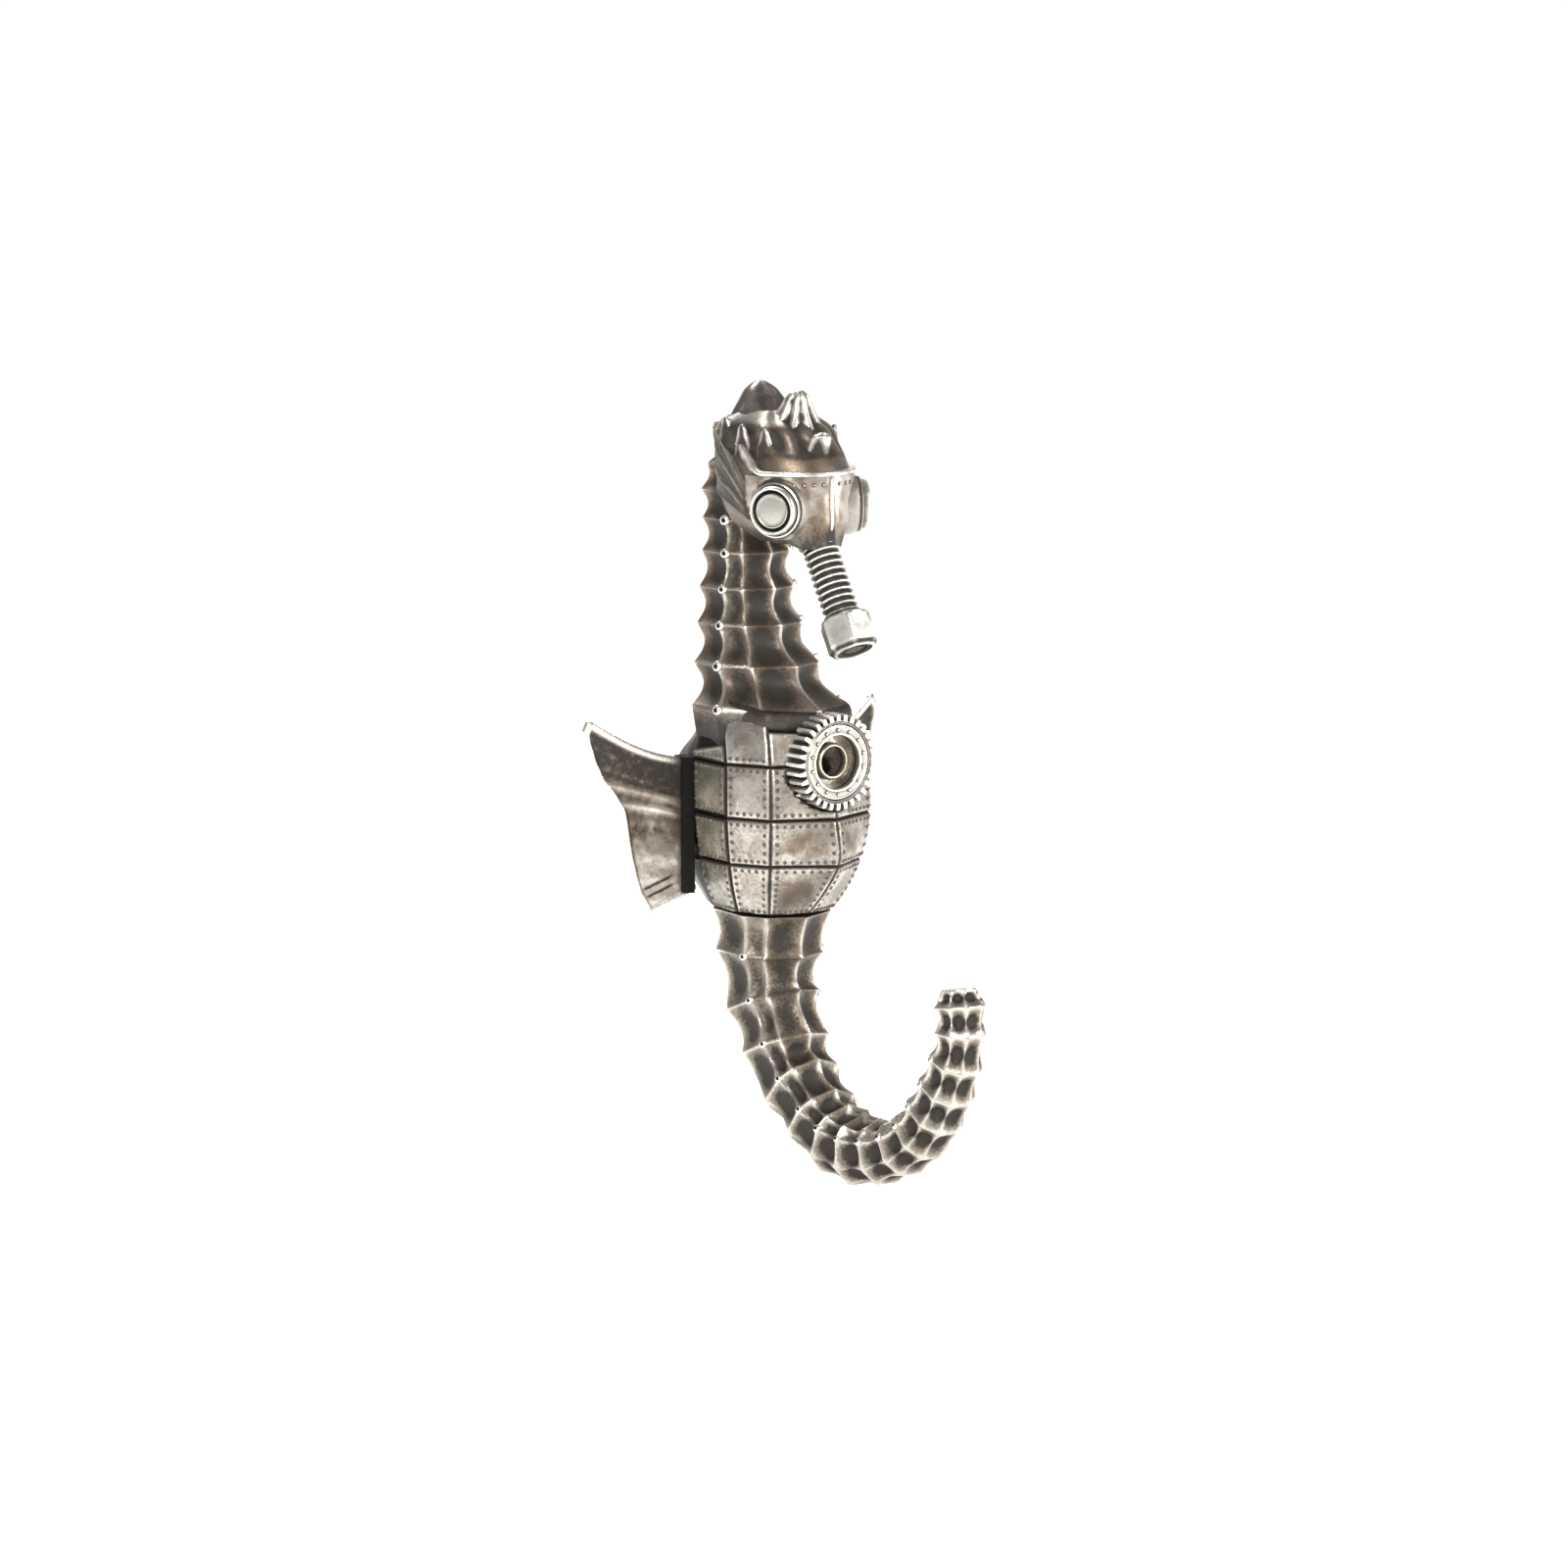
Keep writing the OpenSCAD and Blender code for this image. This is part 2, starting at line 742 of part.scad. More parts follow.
module fluted_horn() color(bright_pewter) {
    difference() {
        fluted_horn_shape();
        skull_shape();
        crown_horn_shape();
    }
}

module brow_nub() color(bright_pewter) {
    difference() {
        horn(0, 40, 76.6, 3.4, 1.5, 6, 2.4);
        skull_shape();
        fluted_horn_shape();
    }
}

module crown_spikes() color(pewter) {
    difference() {
        both_sides() {
            horn(9.6, 32, 76.6, 2.6, 0.9, 6.6, 0.6, 1.2);
            horn(11, 25, 77.4, 2.6, 0.9, 6.4, 0, 1.4);
            horn(10.4, 18, 79, 2.8, 0.9, 6.2, -0.8, 1.2);
        }
        skull_shape();
    }
}

// ---- Fins ----

module in_fin_frame() {
    translate(at(fin_root[0], fin_root[1], 0))
    rotate([0, 0, fin_sweep])
    children();
}

// The tongue of the fin and the slot for it, which the core and the gasket share
module fin_slot(gap) {
    in_fin_frame()
    translate([-fin_tongue, -fin_thickness / 2 - gap, fin_low - gap])
    cube([fin_tongue + 3, fin_thickness + 2 * gap, fin_high - fin_low + 2 * gap]);
}

module fin_blade() {
    in_fin_frame()
    union() {
        translate([0, fin_thickness / 2, 0])
        rotate([90, 0, 0])
        linear_extrude(fin_thickness)
        polygon(concat([for (p = fin_outline) p[0] == 0 ? [1.4, p[1]] : p]));
        translate([-fin_tongue, -fin_thickness / 2, fin_low])
        cube([fin_tongue + 2, fin_thickness, fin_high - fin_low]);
    }
}

module fin_pin_pair() {
    for (z = [-10, -27])
        translate(at(15.7, 8.2, z))
        rotate([90, 0, 0])
        cylinder(r = fin_pin_r, h = 5.4, $fn = 24);
}

module fin(side) color(pewter) {
    mirror([side == "left" ? 1 : 0, 0, 0])
    difference() {
        fin_blade();
        fin_pin_pair();
    }
}

module fin_gasket_block(gap) {
    in_fin_frame()
    translate([-1.6 - gap, -3 - gap, -35.6 - gap])
    cube([3 + 2 * gap, 6 + 2 * gap, 34.6 + 2 * gap]);
}

module fin_gasket(side) color(black_recess) {
    mirror([side == "left" ? 1 : 0, 0, 0])
    difference() {
        fin_gasket_block(0);
        fin_slot(0);
    }
}

module fin_pins() color(pewter) {
    both_sides()
    fin_pin_pair();
}

// ---- Nodes ----

belly_core();
neck_casting();
collar_fold();
skull_casting();
tail_stem();
tail_hook();
tail_tip();
neck_pin();
head_pin();
stem_pin();
hook_pin();
gear_ring();
gear_hub();
hub_face();
hub_studs();
thrust_washer();
screw_eyelet();
mask_shell();
mask_rim_band();
mask_rivets();
nose_ridge();
snout_collar();
snout_hose();
snout_nut();
snout_cap();
crown_horn();
fluted_horn();
brow_nub();
crown_spikes();
fin_pins();
neck_studs();
tail_studs();
armour_rivets();
for (side = sides) {
    goggle_bezel(side);
    goggle_seal(side);
    goggle_lens(side);
    head_straps(side);
    fin(side);
    fin_gasket(side);
}
for (row = [0:3], column = [0:2])
    plate_pair(row, column);
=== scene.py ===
"""Looks of the riveted seahorse wall hook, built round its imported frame.

Lengths in the classes are millimetres. "Forward" is the distance from the wall, which is -Y
of the frame, and angles round a section are counted from the keel, the line at its front.
"""

from __future__ import annotations

import json
import logging
import math
from dataclasses import dataclass, field
from enum import Enum
from typing import Iterable, Sequence

import bpy
import numpy as np
from mathutils import Matrix, Vector


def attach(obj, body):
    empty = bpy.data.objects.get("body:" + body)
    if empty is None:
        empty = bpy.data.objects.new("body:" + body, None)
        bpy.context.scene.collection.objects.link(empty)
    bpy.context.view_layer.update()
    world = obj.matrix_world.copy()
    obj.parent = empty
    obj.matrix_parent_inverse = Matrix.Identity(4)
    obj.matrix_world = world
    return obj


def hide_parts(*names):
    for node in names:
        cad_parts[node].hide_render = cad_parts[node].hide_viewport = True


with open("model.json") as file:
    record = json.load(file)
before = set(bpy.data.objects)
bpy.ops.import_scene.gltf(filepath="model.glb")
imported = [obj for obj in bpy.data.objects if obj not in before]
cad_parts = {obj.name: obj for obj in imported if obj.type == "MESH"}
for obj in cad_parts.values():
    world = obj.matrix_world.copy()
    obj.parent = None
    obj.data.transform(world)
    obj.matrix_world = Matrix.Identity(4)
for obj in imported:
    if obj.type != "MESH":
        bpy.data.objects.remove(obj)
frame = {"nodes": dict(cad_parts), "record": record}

LOG = logging.getLogger("seahorse")
MM = 0.001
Grid = np.ndarray
Marks = dict[str, np.ndarray]
Piece = bpy.types.Object
Vectors = list[Vector]
Table = Sequence[tuple[float, float]]
Profile = Sequence[tuple[float, float, float]]

WALL_GAP = 0.02
"""The castings stop this far in front of the wall."""

GEAR_SPACE = (12.75, 41.9, 70.0)
"""The space that the gear turns in: its radius, back and front on the screw's axis."""

FROM_WALL = Matrix.Rotation(math.radians(90), 4, "X")
"""Turns +Z to look straight out from the wall, along the screw's axis."""


class Side(Enum):
    """The two sides of the body; the value is the sign of X."""

    LEFT = -1
    RIGHT = 1

    @property
    def label(self) -> str:
        """The side's name as the frame's nodes spell it."""
        return self.name.lower()


class Slot(Enum):
    """The record's material slots."""

    ANTIQUE = "antique_pewter"
    PLATE = "plate_pewter"
    BRIGHT = "bright_pewter"
    DARK = "dark_metal"
    SEAL = "black_seal"


# ---------------------------------------------------------------- curves and grids


def curve(table: Table, x: np.ndarray | float) -> np.ndarray:
    """Smooth curve through a table's points.

    Args:
        table: pairs of place and value, places rising.
        x: where the curve is wanted; outside the table it keeps the end values.

    Returns:
        The curve's value at each x.
    """
    places, values = np.array(table, float).T
    slopes = np.gradient(values, places)
    x = np.clip(np.asarray(x, float), places[0], places[-1])
    i = np.clip(np.searchsorted(places, x, side="right") - 1, 0, len(places) - 2)
    span = places[i + 1] - places[i]
    t = (x - places[i]) / span
    start = (1 + 2 * t) * (1 - t) ** 2 * values[i] + t * (1 - t) ** 2 * span * slopes[i]
    end = t * t * (3 - 2 * t) * values[i + 1] + t * t * (t - 1) * span * slopes[i + 1]
    return start + end


def step(low: float, high: float, x: np.ndarray) -> np.ndarray:
    """Smooth rise from 0 at low to 1 at high."""
    t = np.clip((x - low) / (high - low), 0, 1)
    return t * t * (3 - 2 * t)


def bell(x: np.ndarray, width: float) -> np.ndarray:
    """Rounded bump that is 1 at 0 and falls away over a width."""
    return np.exp(-((x / width) ** 2))


def gathered(count: int, pull: float = 0.75) -> np.ndarray:
    """Steps from 0 up to but not including 1, drawn together near both ends.

    Args:
        count: how many steps.
        pull: 0 spaces them evenly and 1 crowds them most at the ends.

    Returns:
        The steps, starting at 0.
    """
    t = np.arange(count) / count
    return t - pull * np.sin(2 * np.pi * t) / (2 * np.pi)


def evened(path: Grid, count: int, rounds: int) -> Grid:
    """Path with evenly spaced points and soft corners.

    Args:
        path: the points to follow, in a row.
        count: how many points are wanted.
        rounds: how many times each point is drawn towards its neighbours.

    Returns:
        The new points, with the same ends.
    """
    gone = np.append(0, np.linalg.norm(np.diff(path, axis=0), axis=-1).cumsum())
    even = np.linspace(0, 1, count) * gone[-1]
    path = np.stack([np.interp(even, gone, column) for column in path.T], -1)
    for _ in range(rounds):
        path[1:-1] = (path[:-2] + 2 * path[1:-1] + path[2:]) / 4
    return path


def ripples(points: Grid, size: float, seed: int) -> Grid:
    """Gentle unevenness of a cast or hammered surface, from a few crossing waves.

    Args:
        points: places in millimetres, the last axis being x, y, z.
        size: rough distance between two bumps.
        seed: fixes the waves' directions.

    Returns:
        Heights between about -1 and 1.
    """
    rng = np.random.default_rng(seed)
    total = np.zeros(points.shape[:-1])
    for _ in range(7):
        way = rng.normal(size=3)
        way *= 2 * np.pi / (size * rng.uniform(0.7, 1.5) * np.linalg.norm(way))
        total += np.sin(points @ way + rng.uniform(0, 2 * np.pi))
    return total / 3.5


# ---------------------------------------------------------------- meshes


def linked(name: str, data: bpy.types.ID) -> Piece:
    """Object made of a mesh, light or camera and linked to the scene."""
    piece = bpy.data.objects.new(name, data)
    bpy.context.scene.collection.objects.link(piece)
    return piece


def new_piece(name: str, points: Grid, faces: Sequence[Sequence[int]], marks: Marks | None = None,
              sharp: float = 40.0) -> Piece:
    """Makes an object from points and faces, facing outwards.

    Args:
        name: the piece's name.
        points: n by 3 places in millimetres.
        faces: indices of each face's corners.
        marks: values at each point, kept on the mesh for the materials.
        sharp: edges that turn more than this many degrees stay sharp.

    Returns:
        The new object, linked to the scene.
    """
    points = np.asarray(points, float)
    fans = np.array([(f[0], f[k], f[k + 1]) for f in faces for k in range(1, len(f) - 1)])
    a, b, c = (points[fans[:, k]] for k in range(3))
    if np.einsum("ij,ij->i", a, np.cross(b, c)).sum() < 0:
        faces = [tuple(reversed(f)) for f in faces]
    mesh = bpy.data.meshes.new(name)
    mesh.from_pydata((points * MM).tolist(), [], [tuple(int(i) for i in f) for f in faces])
    for key, values in (marks or {}).items():
        layer = mesh.attributes.new(key, "FLOAT", "POINT")
        layer.data.foreach_set("value", np.ravel(values).astype(np.float32))
    mesh.update()
    mesh.shade_smooth()
    mesh.set_sharp_from_angle(angle=math.radians(sharp))
    return linked(name, mesh)


def tube(name: str, grid: Grid, marks: Marks | None = None, sharp: float = 60.0) -> Piece:
    """Closed piece from rings of points, with a fan over each end.

    Args:
        name: the piece's name.
        grid: rings by points by 3; each ring closes on itself.
        marks: values at each grid point.
        sharp: as for new_piece.

    Returns:
        The new object.
    """
    rings, count = grid.shape[:2]
    at = np.arange(rings * count).reshape(rings, count)
    after = np.roll(at, -1, axis=1)
    faces = [tuple(f) for f in np.stack([at[:-1], after[:-1], after[1:], at[1:]], -1).reshape(-1, 4)]
    first, last = rings * count, rings * count + 1
    faces += [(first, after[0, j], at[0, j]) for j in range(count)]
    faces += [(last, at[-1, j], after[-1, j]) for j in range(count)]
    points = np.concatenate([grid.reshape(-1, 3), grid[:1].mean(1), grid[-1:].mean(1)])
    ends = {key: np.concatenate([np.ravel(v), [v[0].mean(), v[-1].mean()]])
            for key, v in (marks or {}).items()}
    return new_piece(name, points, faces, ends, sharp)


def shell(name: str, outer: Grid, inner: Grid, marks: Marks | None = None,
          sharp: float = 50.0) -> Piece:
    """Closed sheet with a thickness, from two grids of points joined along their edges.

    Args:
        name: the piece's name.
        outer: rows by columns by 3, the side that shows.
        inner: the same for the hidden side.
        marks: values at each outer point; the hidden side takes the same.
        sharp: as for new_piece.

    Returns:
        The new object.
    """
    rows, cols = outer.shape[:2]
    below = rows * cols
    top = np.arange(below).reshape(rows, cols)
    corners = np.stack([top[:-1, :-1], top[:-1, 1:], top[1:, 1:], top[1:, :-1]], -1)
    faces = [tuple(f) for f in corners.reshape(-1, 4)]
    faces += [tuple(reversed([i + below for i in f])) for f in faces]
    rim = [*top[0, :-1], *top[:-1, -1], *top[-1, :0:-1], *top[:0:-1, 0]]
    for a, b in zip(rim, rim[1:] + rim[:1]):
        faces.append((a, a + below, b + below, b))
    points = np.concatenate([outer.reshape(-1, 3), inner.reshape(-1, 3)])
    both = {key: np.concatenate([np.ravel(v), np.ravel(v)]) for key, v in (marks or {}).items()}
    return new_piece(name, points, faces, both, sharp)


def lathe(name: str, profile: Profile, place: Matrix, segments: int = 72, sharp: float = 40.0) -> Piece:
    """Turned piece: a profile swept round its axis.

    Args:
        name: the piece's name.
        profile: radius, height and recess mark of each point. Where both ends lie on the axis
            the piece is solid; otherwise the profile closes on itself and the piece is a ring.
        place: puts the axis, which is +Z, where it belongs, in millimetres.
        segments: points round the axis.
        sharp: as for new_piece.

    Returns:
        The new object.
    """
    rows = np.array(profile, float)
    solid = not rows[0, 0] and not rows[-1, 0]
    if solid:
        rows = rows[1:-1]
    radius, height, recess = (np.repeat(column[:, None], segments, 1) for column in rows.T)
    turn = np.arange(segments) * 2 * np.pi / segments
    grid = moved(np.stack([radius * np.cos(turn), radius * np.sin(turn), height], -1), place)
    return (tube if solid else ring_of_loops)(name, grid, {"recess": recess}, sharp)


def ring_of_loops(name: str, grid: Grid, marks: Marks | None = None, sharp: float = 50.0) -> Piece:
    """Closed ring from loops of points, where the last loop joins the first.

    Args:
        name: the piece's name.
        grid: loops by points by 3.
        marks: values at each grid point.
        sharp: as for new_piece.

    Returns:
        The new object.
    """
    loops, count = grid.shape[:2]
    at = np.arange(loops * count).reshape(loops, count)
    down, across = np.roll(at, -1, axis=0), np.roll(at, -1, axis=1)
    faces = np.stack([at, across, np.roll(down, -1, axis=1), down], -1).reshape(-1, 4)
    return new_piece(name, grid.reshape(-1, 3), faces.tolist(), marks, sharp)


def joined(name: str, parts: Sequence[Piece]) -> Piece:
    """One piece from several, which keep their marks."""
    points, faces, marks = [], [], {"recess": [], "tone": []}
    for part in parts:
        start = len(points)
        points += [tuple(v.co / MM) for v in part.data.vertices]
        faces += [tuple(i + start for i in f.vertices) for f in part.data.polygons]
        for key, values in marks.items():
            layer = part.data.attributes.get(key)
            values += [d.value for d in layer.data] if layer else [0.0] * len(part.data.vertices)
        bpy.data.objects.remove(part)
    return new_piece(name, np.array(points), faces, {key: np.array(values) for key, values in marks.items()})


def moved(points: Grid, place: Matrix) -> Grid:
    """Points carried by a matrix."""
    turn = np.array(place.to_3x3())
    return points @ turn.T + np.array(place.translation)


def facing(origin: Sequence[float], way: Sequence[float]) -> Matrix:
    """Place whose +Z looks along a direction."""
    return Matrix.Translation(Vector(origin)) @ Vector(way).to_track_quat("Z", "Y").to_matrix().to_4x4()


def settled(piece: Piece) -> None:
    """Turns a piece's modifiers into its plain mesh."""
    graph = bpy.context.evaluated_depsgraph_get()
    result = bpy.data.meshes.new_from_object(piece.evaluated_get(graph))
    piece.modifiers.clear()
    piece.data = result


def cut_away(piece: Piece, tool: Piece) -> None:
    """Takes a tool's shape out of a piece for good, and removes the tool."""
    change = piece.modifiers.new("cut", "BOOLEAN")
    change.object, change.operation, change.solver = tool, "DIFFERENCE", "EXACT"
    settled(piece)
    bpy.data.objects.remove(tool)


def cut_gear_space(piece: Piece) -> None:
    """Takes the space that the gear turns in out of a piece."""
    radius, back, front = GEAR_SPACE
    profile = [(0, back, 0), (radius, back, 0), (radius, front, 0), (0, front, 0)]
    cut_away(piece, lathe("gear_space", profile, FROM_WALL))


def stand_for(piece: Piece, *nodes: str, body: str = "root") -> None:
    """Says what a piece stands for and what it moves with, and reports it.

    Args:
        piece: the finished piece.
        nodes: the frame's nodes that it replaces.
        body: the body that carries it.
    """
    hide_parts(*nodes)
    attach(piece, body)
    LOG.info("%s: %d faces, for %s on %s", piece.name, len(piece.data.polygons), ", ".join(nodes), body)


# ---------------------------------------------------------------- shader maths


class Wire:
    """A shader socket that can be used in arithmetic."""

    def __init__(self, paint: "Paint", socket: bpy.types.NodeSocket) -> None:
        """Wraps a socket of a paint's node tree."""
        self.paint = paint
        self.socket = socket

    def _math(self, operation: str, *values: "Wire | float") -> "Wire":
        """Adds a Math node over this paint's values."""
        node = self.paint.node("ShaderNodeMath", {"operation": operation}, dict(enumerate(values)))
        return Wire(self.paint, node.outputs[0])

    def __add__(self, other: "Wire | float") -> "Wire":
        """Sum."""
        return self._math("ADD", self, other)

    def __sub__(self, other: "Wire | float") -> "Wire":
        """Difference."""
        return self._math("SUBTRACT", self, other)

    def __rsub__(self, other: float) -> "Wire":
        """Difference from a number."""
        return self._math("SUBTRACT", other, self)

    def __mul__(self, other: "Wire | float") -> "Wire":
        """Product."""
        return self._math("MULTIPLY", self, other)

    __radd__ = __add__
    __rmul__ = __mul__

    def clamped(self) -> "Wire":
        """The value kept between 0 and 1."""
        node = self.paint.node("ShaderNodeClamp", {}, {"Value": self})
        return Wire(self.paint, node.outputs[0])

    def spread(self, low: float, high: float) -> "Wire":
        """Smooth rise from 0 at low to 1 at high."""
        node = self.paint.node("ShaderNodeMapRange", {"interpolation_type": "SMOOTHSTEP"},
                               {"Value": self, "From Min": low, "From Max": high})
        return Wire(self.paint, node.outputs[0])


class Paint:
    """A material under construction."""

    def __init__(self, name: str) -> None:
        """Starts a material with an empty Principled shader."""
        self.material = bpy.data.materials.new(name)
        self.material.use_nodes = True
        self.tree = self.material.node_tree
        self.shader = self.tree.nodes["Principled BSDF"]
        self.place = self.node("ShaderNodeTexCoord", {}, {}).outputs["Object"]

    def node(self, kind: str, settings: dict[str, object], inputs: dict[str | int, object]) -> bpy.types.Node:
        """Adds any node.

        Args:
            kind: the node's type.
            settings: its properties, set first.
            inputs: a number, colour, socket or Wire for each socket, by name or number.

        Returns:
            The new node.
        """
        node = self.tree.nodes.new(kind)
        for key, value in settings.items():
            setattr(node, key, value)
        for key, value in inputs.items():
            source = value.socket if isinstance(value, Wire) else value
            if isinstance(source, bpy.types.NodeSocket):
                self.tree.links.new(source, node.inputs[key])
            else:
                node.inputs[key].default_value = source
        return node

    def noise(self, scale: float, detail: float = 4.0, distortion: float = 0.0) -> Wire:
        """Noise over the piece, as a value; scale is per millimetre."""
        node = self.node("ShaderNodeTexNoise", {}, {
            "Vector": self.place, "Scale": scale / MM, "Detail": detail, "Distortion": distortion})
        return Wire(self, node.outputs["Factor" if "Factor" in node.outputs else "Fac"])

    def mark(self, name: str) -> Wire:
        """A value kept on the mesh, 0 where the mesh has none."""
        node = self.node("ShaderNodeAttribute", {"attribute_name": name}, {})
        return Wire(self, node.outputs["Fac"])

    def mix(self, factor: Wire, first: object, second: object) -> Wire:
        """Blend of two colours."""
        node = self.node("ShaderNodeMix", {"data_type": "RGBA"}, {0: factor, 6: first, 7: second})
        return Wire(self, node.outputs[2])

    def feed(self, socket: str, value: Wire) -> None:
        """Joins a value to the shader."""
        self.tree.links.new(value.socket, self.shader.inputs[socket])

    def bump(self, height: Wire, distance: float, strength: float) -> None:
        """Relief from a height, distance in millimetres."""
        node = self.node("ShaderNodeBump", {}, {
            "Height": height, "Distance": distance * MM, "Strength": strength})
        self.tree.links.new(node.outputs[0], self.shader.inputs["Normal"])


@dataclass(frozen=True)
class MetalFinish:
    """Cast metal with dark patina in its recesses and rubbed high points, plus painted shade and highlights
    carried by the recess mark.
    """

    name: str
    slot: Slot
    high: tuple[float, float, float]
    middle: tuple[float, float, float]
    low: tuple[float, float, float]
    tint: tuple[float, float, float] = (0.16, 0.115, 0.08)
    dirt: float = 0.45
    smooth: float = 0.26
    rough: float = 0.62
    pitting: float = 0.5
    metallic: float = 0.85
    base: float = 0.0

    def material(self) -> bpy.types.Material:
        """Builds the finish.

        Returns:
            A material that reads the recess and tone marks of the piece that it is put on.
        """
        paint = Paint(self.name)
        blotch = paint.noise(0.16, 5.0, 0.6)
        fine = paint.noise(1.3, 6.0)
        grit = paint.noise(4.5, 3.0)
        recess, tone = paint.mark("recess"), paint.mark("tone")
        depth = (recess + (blotch - 0.5) * self.dirt + (fine - 0.5) * self.dirt + self.base).clamped()
        # Light colour where the depth is low: rubbed high points, and painted highlights where the recess
        # mark carries them.
        wear_and_highlight = paint.mix(depth.spread(0.0, 0.42), (*self.high, 1), (*self.middle, 1))
        stained = paint.mix((tone * blotch.spread(0.25, 0.62)).clamped(), wear_and_highlight, (*self.tint, 1))
        # Darkest colour where the depth is high: patina in the hollows, and painted shade where the recess
        # mark carries it.
        colour = paint.mix(depth.spread(0.38, 0.86), stained, (*self.low, 1))
        speck = grit.spread(0.62, 0.74) * 0.35
        colour = paint.mix(speck, colour, (*self.low, 1))
        paint.feed("Base Color", colour)
        rough = self.smooth + depth * (self.rough - self.smooth) + (fine - 0.5) * 0.18
        paint.feed("Roughness", rough.clamped())
        paint.feed("Metallic", self.metallic * (1 - depth.spread(0.45, 1.0) * 0.6))
        if self.slot is Slot.DARK:
            paint.shader.inputs["Specular IOR Level"].default_value = 0.15
        paint.bump(fine * 0.6 + grit * 0.4, 0.12, self.pitting)
        return paint.material


@dataclass(frozen=True)
class RubberFinish:
    """Matt black seal with a fine grain."""

    name: str = "black_rubber"
    slot: Slot = Slot.SEAL

    def material(self) -> bpy.types.Material:
        """Builds the finish.

        Returns:
            The material.
        """
        paint = Paint(self.name)
        grain, cloud = paint.noise(3.0, 5.0), paint.noise(0.3, 3.0)
        paint.feed("Base Color", paint.mix(cloud, (0.004, 0.004, 0.003, 1), (0.012, 0.011, 0.01, 1)))
        paint.feed("Roughness", 0.6 + grain * 0.3)
        paint.shader.inputs["Specular IOR Level"].default_value = 0.12
        paint.bump(grain, 0.08, 0.4)
        return paint.material


class Finishes:
    """Every finish of the hook, each built once."""

    def __init__(self) -> None:
        """Builds the materials."""
        self._made: dict[str, tuple[bpy.types.Material, Slot]] = {}
        bright, grey = (0.8, 0.77, 0.71), (0.36, 0.33, 0.285)
        black, soot = (0.028, 0.023, 0.018), (0.015, 0.013, 0.011)
        for finish in (
            MetalFinish("neck_pewter", Slot.ANTIQUE, (0.6, 0.55, 0.48), (0.2, 0.165, 0.135), black),
            MetalFinish("tail_pewter", Slot.ANTIQUE, (0.56, 0.52, 0.46), (0.24, 0.21, 0.17), black,
                        dirt=0.6),
            MetalFinish("head_pewter", Slot.ANTIQUE, (0.5, 0.45, 0.39), (0.17, 0.145, 0.12), black),
            MetalFinish("horn_pewter", Slot.ANTIQUE, (0.34, 0.29, 0.27), (0.12, 0.1, 0.095), black,
                        dirt=0.6),
            MetalFinish("crest_pewter", Slot.ANTIQUE, (0.75, 0.72, 0.65), (0.32, 0.29, 0.25), black),
            MetalFinish("strap_pewter", Slot.ANTIQUE, (0.6, 0.56, 0.5), (0.2, 0.185, 0.16),
                        (0.06, 0.056, 0.046)),
            MetalFinish("mask_pewter", Slot.ANTIQUE, (0.66, 0.61, 0.54), (0.32, 0.28, 0.235), black),
            MetalFinish("fin_pewter", Slot.ANTIQUE, (0.72, 0.68, 0.62), (0.34, 0.3, 0.25), black),
            MetalFinish("plate_pewter", Slot.PLATE, (0.5, 0.465, 0.41), (0.235, 0.21, 0.175), black,
                        dirt=0.7, base=0.14),
            MetalFinish("armour_pewter", Slot.PLATE, (0.42, 0.4, 0.345), (0.19, 0.178, 0.145), black,
                        dirt=0.7, base=0.1),
            MetalFinish("bright_pewter", Slot.BRIGHT, bright, grey, black, smooth=0.2, dirt=0.3),
            MetalFinish("lens_pewter", Slot.BRIGHT, (0.46, 0.44, 0.385), (0.34, 0.32, 0.28), black,
                        smooth=0.16, dirt=0.2, pitting=0.2),
            MetalFinish("eyelet_pewter", Slot.BRIGHT, (0.66, 0.58, 0.46), (0.34, 0.28, 0.2), black,
                        dirt=0.3),
            MetalFinish("hub_pewter", Slot.BRIGHT, (0.6, 0.54, 0.46), (0.24, 0.2, 0.16), black, base=0.25),
            MetalFinish("hose_pewter", Slot.BRIGHT, (0.78, 0.75, 0.7), (0.3, 0.27, 0.24), black,
                        smooth=0.22),
            MetalFinish("fold_metal", Slot.DARK, (0.22, 0.2, 0.18), (0.08, 0.07, 0.06), soot, smooth=0.35),
            MetalFinish("rivet_metal", Slot.DARK, (0.12, 0.1, 0.085), (0.05, 0.043, 0.036), soot,
                        smooth=0.4, metallic=0.7),
            MetalFinish("dark_metal", Slot.DARK, (0.022, 0.019, 0.016), (0.012, 0.01, 0.009),
                        (0.006, 0.005, 0.004), smooth=0.45, metallic=0.6),
            MetalFinish("core_pewter", Slot.DARK, (0.42, 0.38, 0.33), (0.2, 0.175, 0.145),
                        (0.007, 0.006, 0.005), dirt=0.3),
            RubberFinish(),
        ):
            self._made[finish.name] = (finish.material(), finish.slot)

    def dress(self, piece: Piece, name: str) -> None:
        """Puts a finish on a piece.

        Args:
            piece: the object to dress.
            name: the finish's name.
        """
        material, slot = self._made[name]
        piece.data.materials.clear()
        piece.data.materials.append(material)

    def finish(self, piece: Piece, name: str, *nodes: str, body: str = "root") -> None:
        """Dresses a piece and says what it stands for.

        Args:
            piece: the object to dress.
            name: the finish's name.
            nodes: the frame's nodes that the piece replaces.
            body: the body that carries it.
        """
        self.dress(piece, name)
        stand_for(piece, *nodes, body=body)

    def __getitem__(self, name: str) -> bpy.types.Material:
        """The material of a finish."""
        return self._made[name][0]


# ---------------------------------------------------------------- repeated studs


